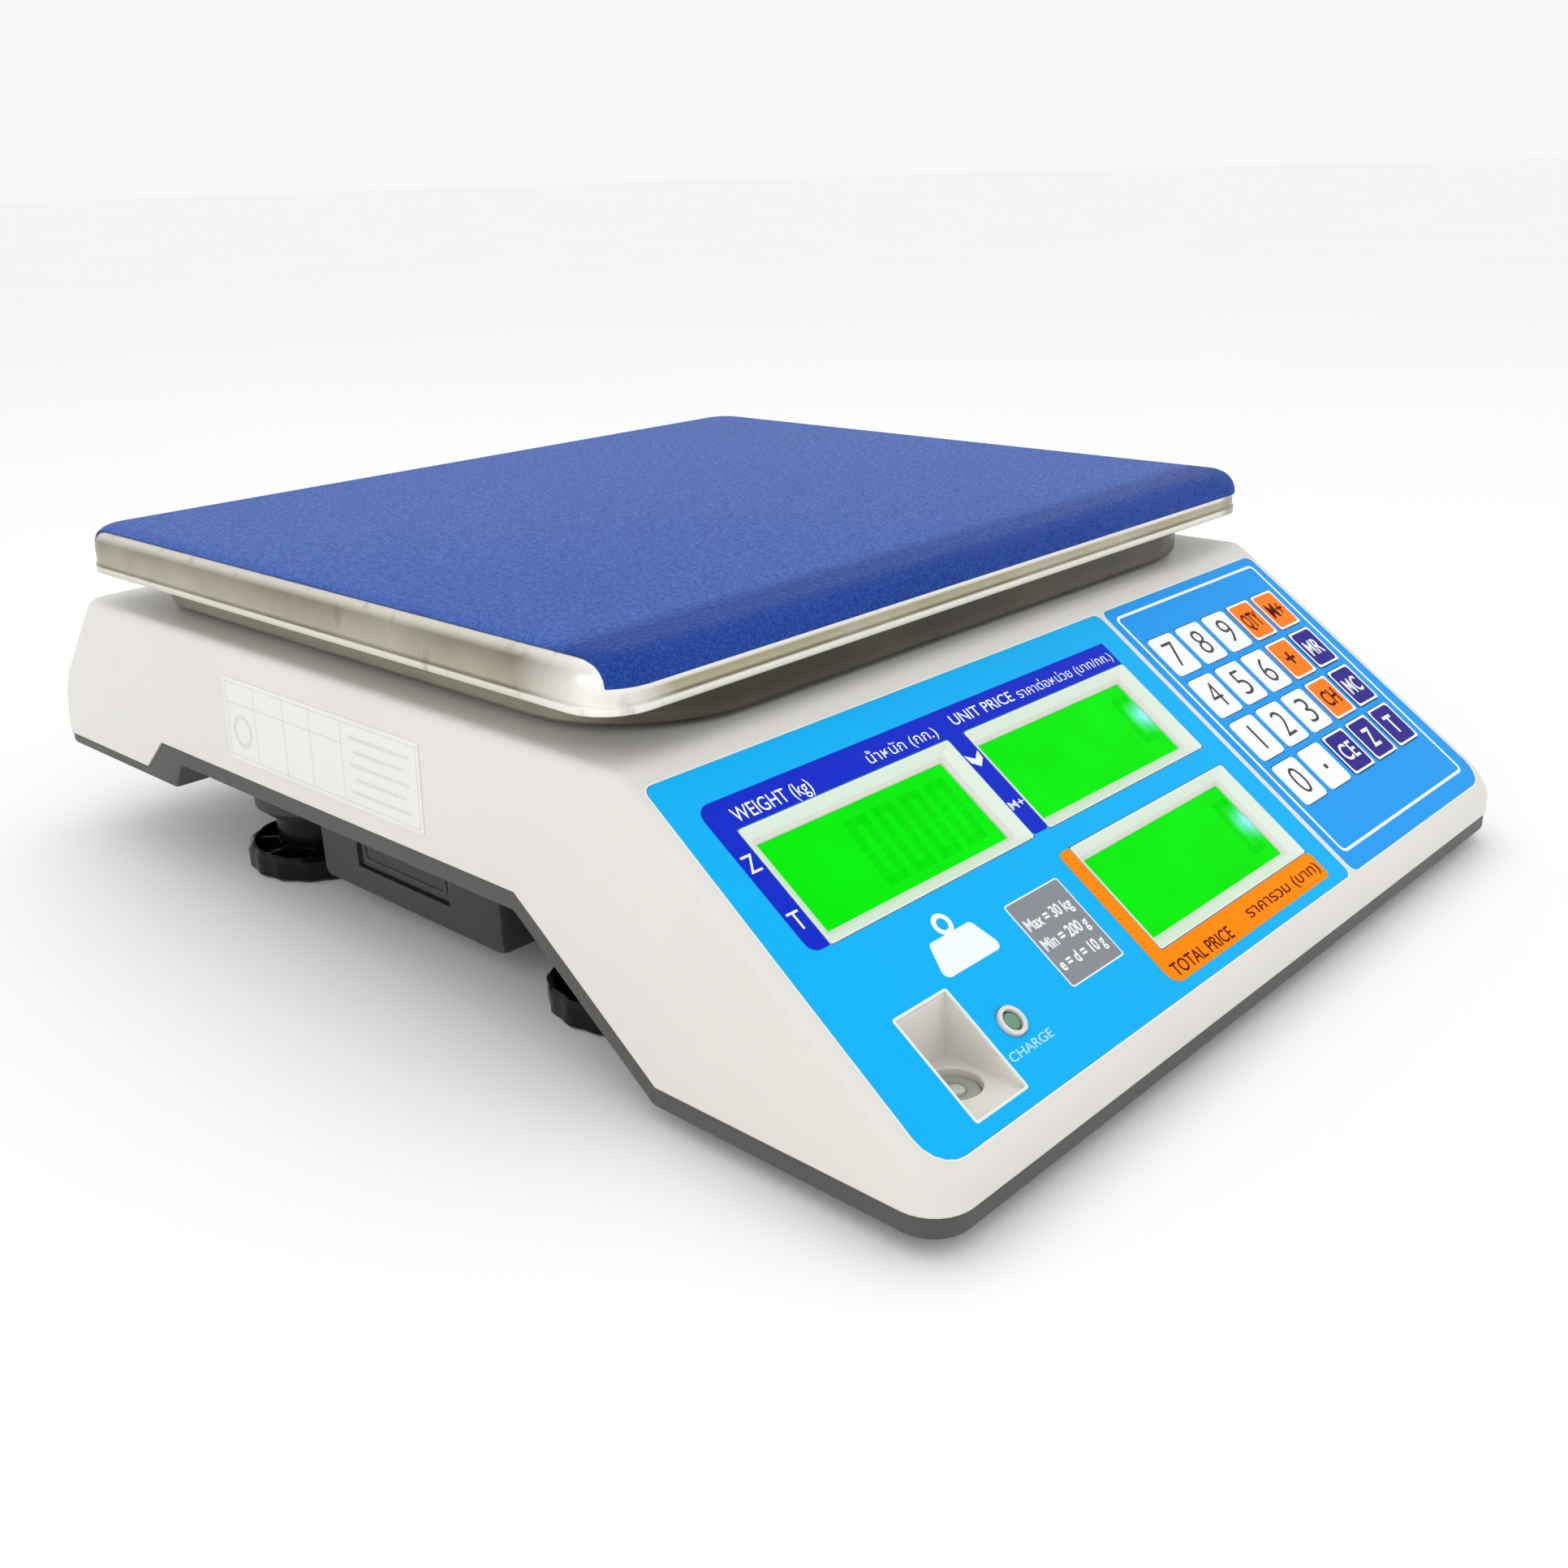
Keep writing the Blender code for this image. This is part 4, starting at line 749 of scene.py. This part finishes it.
def rear_displays():
    words = {"weight": "WEIGHT (kg)", "unit": "UNIT PRICE", "total": "TOTAL PRICE"}
    zeros = {"weight": 4, "unit": 1, "total": 1}
    pitch = 7.5
    for label, x in REAR_WINDOWS.items():
        last = x + REAR_VIEW_W / 2 - 12.0
        display_zeros(f"rear_digits_{label}", zeros[label], last - pitch * (zeros[label] - 1),
                      REAR_VIEW_S, (5.6, 13.0), pitch, REAR, -REAR_DEPTH)
        lettering(f"rear_caption_{label}", words[label], x - 29.5, x - 12.0, 8.6, 2.2, "print_white",
                  matrix=REAR, weight=0.01)


def front_displays():
    display_zeros("digits_weight", 4, -99.5, 43.8, (8.2, 20.5), 10.6, PANEL, -LCD_DEPTH)
    display_zeros("digits_unit", 1, 22.8, 42.5, (7.4, 17.0), 10.0, PANEL, -LCD_DEPTH, "ghost_unit")
    display_zeros("digits_total", 1, 23.0, 85.8, (7.4, 19.0), 10.0, PANEL, -LCD_DEPTH, "ghost_total")


# ---- keys ------------------------------------------------------------------
def key_prints():
    low = KEY_PROUD + PRINT_LOW
    top = KEY_PROUD + PRINT_TOP
    for key, label in KEY_LABELS.items():
        x, s = panel_place(f"key_{key}")
        body = f"button_{key}"
        if label.isdigit():
            half, cap = 2.9, 9.8
            lettering(f"label_{key}", label, x - half, x + half, s + cap / 2, cap, "print_dark",
                      body, low, top, weight=-0.012)
        elif key == "point":
            print_shape("label_point", ring(0.95, 20, x, s + 0.5), "print_dark", body,
                        low, top)
        else:
            letters = "print_brown" if key in ORANGE_KEYS else "print_white"
            outer = rectangle(x, s, KEY_W - 0.1, KEY_H - 0.1, 0.9)
            inner = rectangle(x, s, KEY_W - 1.7, KEY_H - 1.7, 1.4)
            print_frame(f"key_border_{key}", outer, inner, "key_white", body, low, top)
            half = (2.6, 4.4, 4.9)[len(label) - 1]
            cap = 7.0 if len(label) == 1 else 6.0
            lettering(f"label_{key}", label, x - half, x + half, s + cap / 2, cap, letters,
                      body, low, top, weight=0.015)


# ---- small parts -----------------------------------------------------------
def weight_mark():
    """Plain drawing of a weight with a ring for a handle."""
    x, top, foot = -98.0, 72.0, 81.5
    block = [(x - 8.0, top, 1.5), (x + 8.0, top, 1.5), (x + 11.5, foot, 1.8), (x - 11.5, foot, 1.8)]
    print_shape("weight_mark", rounded(block), "print_white")
    handle_s = top - 2.6
    print_frame("weight_mark_ring", ring(3.1, 32, x, handle_s), ring(1.7, 32, x, handle_s),
                "print_white", top=PRINT_TOP - 0.01 * MM)


def wall_sticker():
    """Foil plate with an empty ruled form on the left wall."""
    lean = Vector((WALL_DRAFT, 0.0, 1.0)).normalized()
    out = Vector((-1.0, 0.0, WALL_DRAFT)).normalized()
    turn = Matrix((Vector((0.0, -1.0, 0.0)), lean, out)).transposed().to_4x4()
    wall = Matrix.Translation((WALL_TOP_X, 0.0, DECK_Z)) @ turn
    middle_x, middle_s, width, height = -26.9, 22.6, 100.0, 25.8
    thick, line, margin = 0.3 * MM, 0.3, 1.2
    low, top = thick - 0.02 * MM, thick + 0.05 * MM
    print_shape("wall_sticker", rectangle(middle_x, middle_s, width, height, 1.0), "sticker",
                top=thick, matrix=wall)
    left, upper = middle_x - width / 2, middle_s - height / 2
    rules = [(left + margin, upper + 7.6, 62.0, line)]
    rules += [(left + margin, upper + down, width - 2 * margin, line) for down in (margin, 24.3)]
    rules += [(left + across, upper + margin, line, 23.4)
              for across in (margin, 17.0, 33.0, 47.0, 63.0, 98.5)]
    for number, (x, s, across, down) in enumerate(rules):
        rule = rectangle(x + across / 2, s + down / 2, across, down, 0.1)
        print_shape(f"sticker_rule_{number}", rule, "sticker_line", low=low, top=top,
                    matrix=wall)
    seal_x, seal_s = left + 9.2, upper + 16.0
    print_frame("sticker_seal", ring(5.2, 32, seal_x, seal_s), ring(3.9, 32, seal_x, seal_s),
                "sticker_line", low=low, top=top, matrix=wall)
    for row in range(5):
        long = 28.0 - 4.0 * (row % 2)
        entry = rectangle(left + 81.0, upper + 5.2 + 4.0 * row, long, 1.1, 0.3)
        print_shape(f"sticker_entry_{row}", entry, "sticker_line", low=low,
                    top=thick + 0.04 * MM, matrix=wall)


def level_details():
    """Centring ring and bubble on top of the vial."""
    low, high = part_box("level_vial")
    middle = (low + high) / 2
    x, s = middle.x / MM, -middle.y / MM
    glass = Matrix.Translation((0.0, 0.0, high.z))
    print_frame("vial_ring", ring(3.3, 40, x, s), ring(3.0, 40, x, s), "plate_grey",
                top=0.06 * MM, matrix=glass)
    profile = ((2.1, -0.05), (2.1, 0.12), (1.8, 0.34), (1.2, 0.50), (0.5, 0.58))
    dome = [at(ring(radius, 28, x + 0.7, s + 0.5), height * MM) for radius, height in profile]
    put("vial_bubble", loft(dome), "housing", "bubble", glass)


def door_grip():
    """Raised frame and three grip ribs on the battery door."""
    low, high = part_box("battery_door")
    turn = Matrix((Vector((0, -1, 0)), Vector((0, 0, 1)), Vector((-1, 0, 0)))).transposed().to_4x4()
    face = Matrix.Translation((low.x, 0.0, 0.0)) @ turn
    x, s = -(low.y + high.y) / 2 / MM, -(low.z + high.z) / 2 / MM
    width, height, line = 42.0, 17.0, 0.8
    print_frame("door_frame", rectangle(x, s, width, height, 1.6),
                rectangle(x, s, width - 2 * line, height - 2 * line, 1.2), "grey_plastic",
                "door", top=0.35 * MM, matrix=face)
    pitch = 2.6
    for number in range(3):
        rib = rectangle(x + 12.0, s + pitch - pitch * number, 9.0, 1.1, 0.5)
        print_shape(f"door_rib_{number}", rib, "grey_plastic", "door", top=0.5 * MM,
                    matrix=face)


def switch_marks():
    """Bar and ring on the two flats of the rocker, which face down."""
    low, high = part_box("power_switch")
    seat = (Matrix.Translation(((low.x + high.x) / 2, SWITCH_Y, SWITCH_PIVOT_Z))
            @ Matrix.Rotation(-SWITCH_TILT, 4, "X"))
    half_flat, below_pivot, slope = 4.8 * MM, 2.1 * MM, math.atan2(1.8, 9.6)
    flats = {}
    for side in (-1, 1):
        flats[side] = (seat @ Matrix.Translation((0, side * half_flat, -below_pivot))
                       @ Matrix.Rotation(-side * slope, 4, "X") @ Matrix.Rotation(math.pi, 4, "X"))
    print_shape("switch_bar", rectangle(0, 0, 0.9, 4.2, 0.2), "print_white", "rocker",
                matrix=flats[1])
    print_frame("switch_ring", ring(2.2, 28), ring(1.5, 28), "print_white", "rocker",
                matrix=flats[-1])


def star(radius, depth, count=24):
    """Outline of a six-lobed screw recess."""
    points = []
    for i in range(count):
        turned = 2 * math.pi / count * i
        reach = radius + depth * math.cos(6 * turned)
        points.append(Vector((reach * math.cos(turned), reach * math.sin(turned))))
    return points


def underside_screws():
    """Heads of the screws that hold the two halves together."""
    front_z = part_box("lower_housing")[0].z
    places = [(x, y, front_z) for x in (-122.0, 122.0) for y in (-182.0, -128.0)]
    places += [(x, 172.0, REAR_FLOOR_Z) for x in (-122.0, 0.0, 122.0)]
    for number, (x, y, z) in enumerate(places):
        down = Matrix.Translation((x * MM, y * MM, z)) @ Matrix.Rotation(math.pi, 4, "X")
        head = [at(ring(radius, 24), height * MM)
                for radius, height in ((3.4, -0.05), (3.4, 1.0), (3.1, 1.35), (2.5, 1.5))]
        recess = [at(star(radius, 0.2), height * MM) for radius, height in ((1.35, 1.5), (1.25, 0.6))]
        put(f"screw_{number}", loft(head + recess), "housing", "zinc_steel", down)


def inlet_pin():
    """Contact pin in the middle of the power inlet's bore."""
    low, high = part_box("power_inlet")
    middle = (low + high) / 2
    back = Matrix.Translation((middle.x, high.y, middle.z)) @ Matrix.Rotation(-math.pi / 2, 4, "X")
    profile = ((0.65, -9.25), (0.65, -2.0), (0.45, -1.6))
    pin = [at(ring(radius, 20), height * MM) for radius, height in profile]
    put("inlet_pin", loft(pin), "housing", "aluminium", back)


finish_cad()
printed_bands()
captions()
window_rims()
sheet_edging()
front_displays()
rear_displays()
key_prints()
weight_mark()
wall_sticker()
level_details()
door_grip()
switch_marks()
underside_screws()
inlet_pin()


# ---- room ------------------------------------------------------------------
def soft_light(name, place, aim_z, size, power):
    """Rectangular lamp at a place, aimed at a height over the middle of the floor."""
    data = bpy.data.lights.new(name, "AREA")
    data.shape = "RECTANGLE"
    data.size = size[0]
    data.size_y = size[1]
    data.energy = power
    lamp = bpy.data.objects.new(name, data)
    bpy.context.scene.collection.objects.link(lamp)
    lamp.location = place
    lamp.rotation_euler = (Vector((0, 0, aim_z)) - Vector(place)).to_track_quat("-Z", "Y").to_euler()


def make_floor():
    """Wide floor with a field of its own in the middle."""
    far, near = 40, 1
    marks = (-far, -near, near, far)
    bm = bmesh.new()
    rows = [[bm.verts.new((x, y, 0.0)) for x in marks] for y in marks]
    for low, high in zip(rows, rows[1:]):
        for i in range(len(marks) - 1):
            bm.faces.new((low[i], low[i + 1], high[i + 1], high[i]))
    mesh = bpy.data.meshes.new("floor")
    bm.to_mesh(mesh)
    bm.free()
    floor = bpy.data.objects.new("floor", mesh)
    bpy.context.scene.collection.objects.link(floor)
    mesh.materials.append(surface("floor_pale", colour(251, 251, 251), 0.7, grain=300, depth=0.01,
                                  shade=0.99, blotch=3.0, radius=0.1))


def make_room():
    make_floor()
    world = bpy.data.worlds.new("studio")
    world.use_nodes = True
    background = world.node_tree.nodes["Background"]
    background.inputs["Color"].default_value = (1.0, 1.0, 1.0, 1.0)
    background.inputs["Strength"].default_value = 0.94
    bpy.context.scene.world = world
    soft_light("key_light", (-0.9, -0.7, 1.2), 0.05, (1.2, 1.2), 1.6)
    soft_light("top_light", (0.1, 0.3, 1.6), 0.05, (1.6, 1.2), 2.6)
    soft_light("side_light", (-1.3, -0.1, 0.34), 0.08, (0.9, 0.4), 1.5)
    soft_light("front_light", (0.7, -1.3, 0.6), 0.05, (1.0, 0.8), 1.0)


def make_camera():
    """Camera in front of the left corner, looking down at the panel."""
    heading, pitch, roll = math.radians(-46.7762), math.radians(-20.9447), math.radians(-1.6597)
    place = (-0.37235, EDGE_Y - 0.26426, DECK_Z + 0.1274)
    data = bpy.data.cameras.new("view")
    data.lens = 36.79
    data.sensor_width = 36.0
    data.clip_start = 0.01
    data.clip_end = 100.0
    camera = bpy.data.objects.new("view", data)
    bpy.context.scene.collection.objects.link(camera)
    level = math.pi / 2
    turn = (Matrix.Rotation(heading, 4, "Z") @ Matrix.Rotation(level + pitch, 4, "X")
            @ Matrix.Rotation(roll, 4, "Z"))
    camera.matrix_world = Matrix.Translation(place) @ turn
    bpy.context.scene.camera = camera


make_room()
make_camera()
bpy.context.scene.view_settings.view_transform = "Standard"
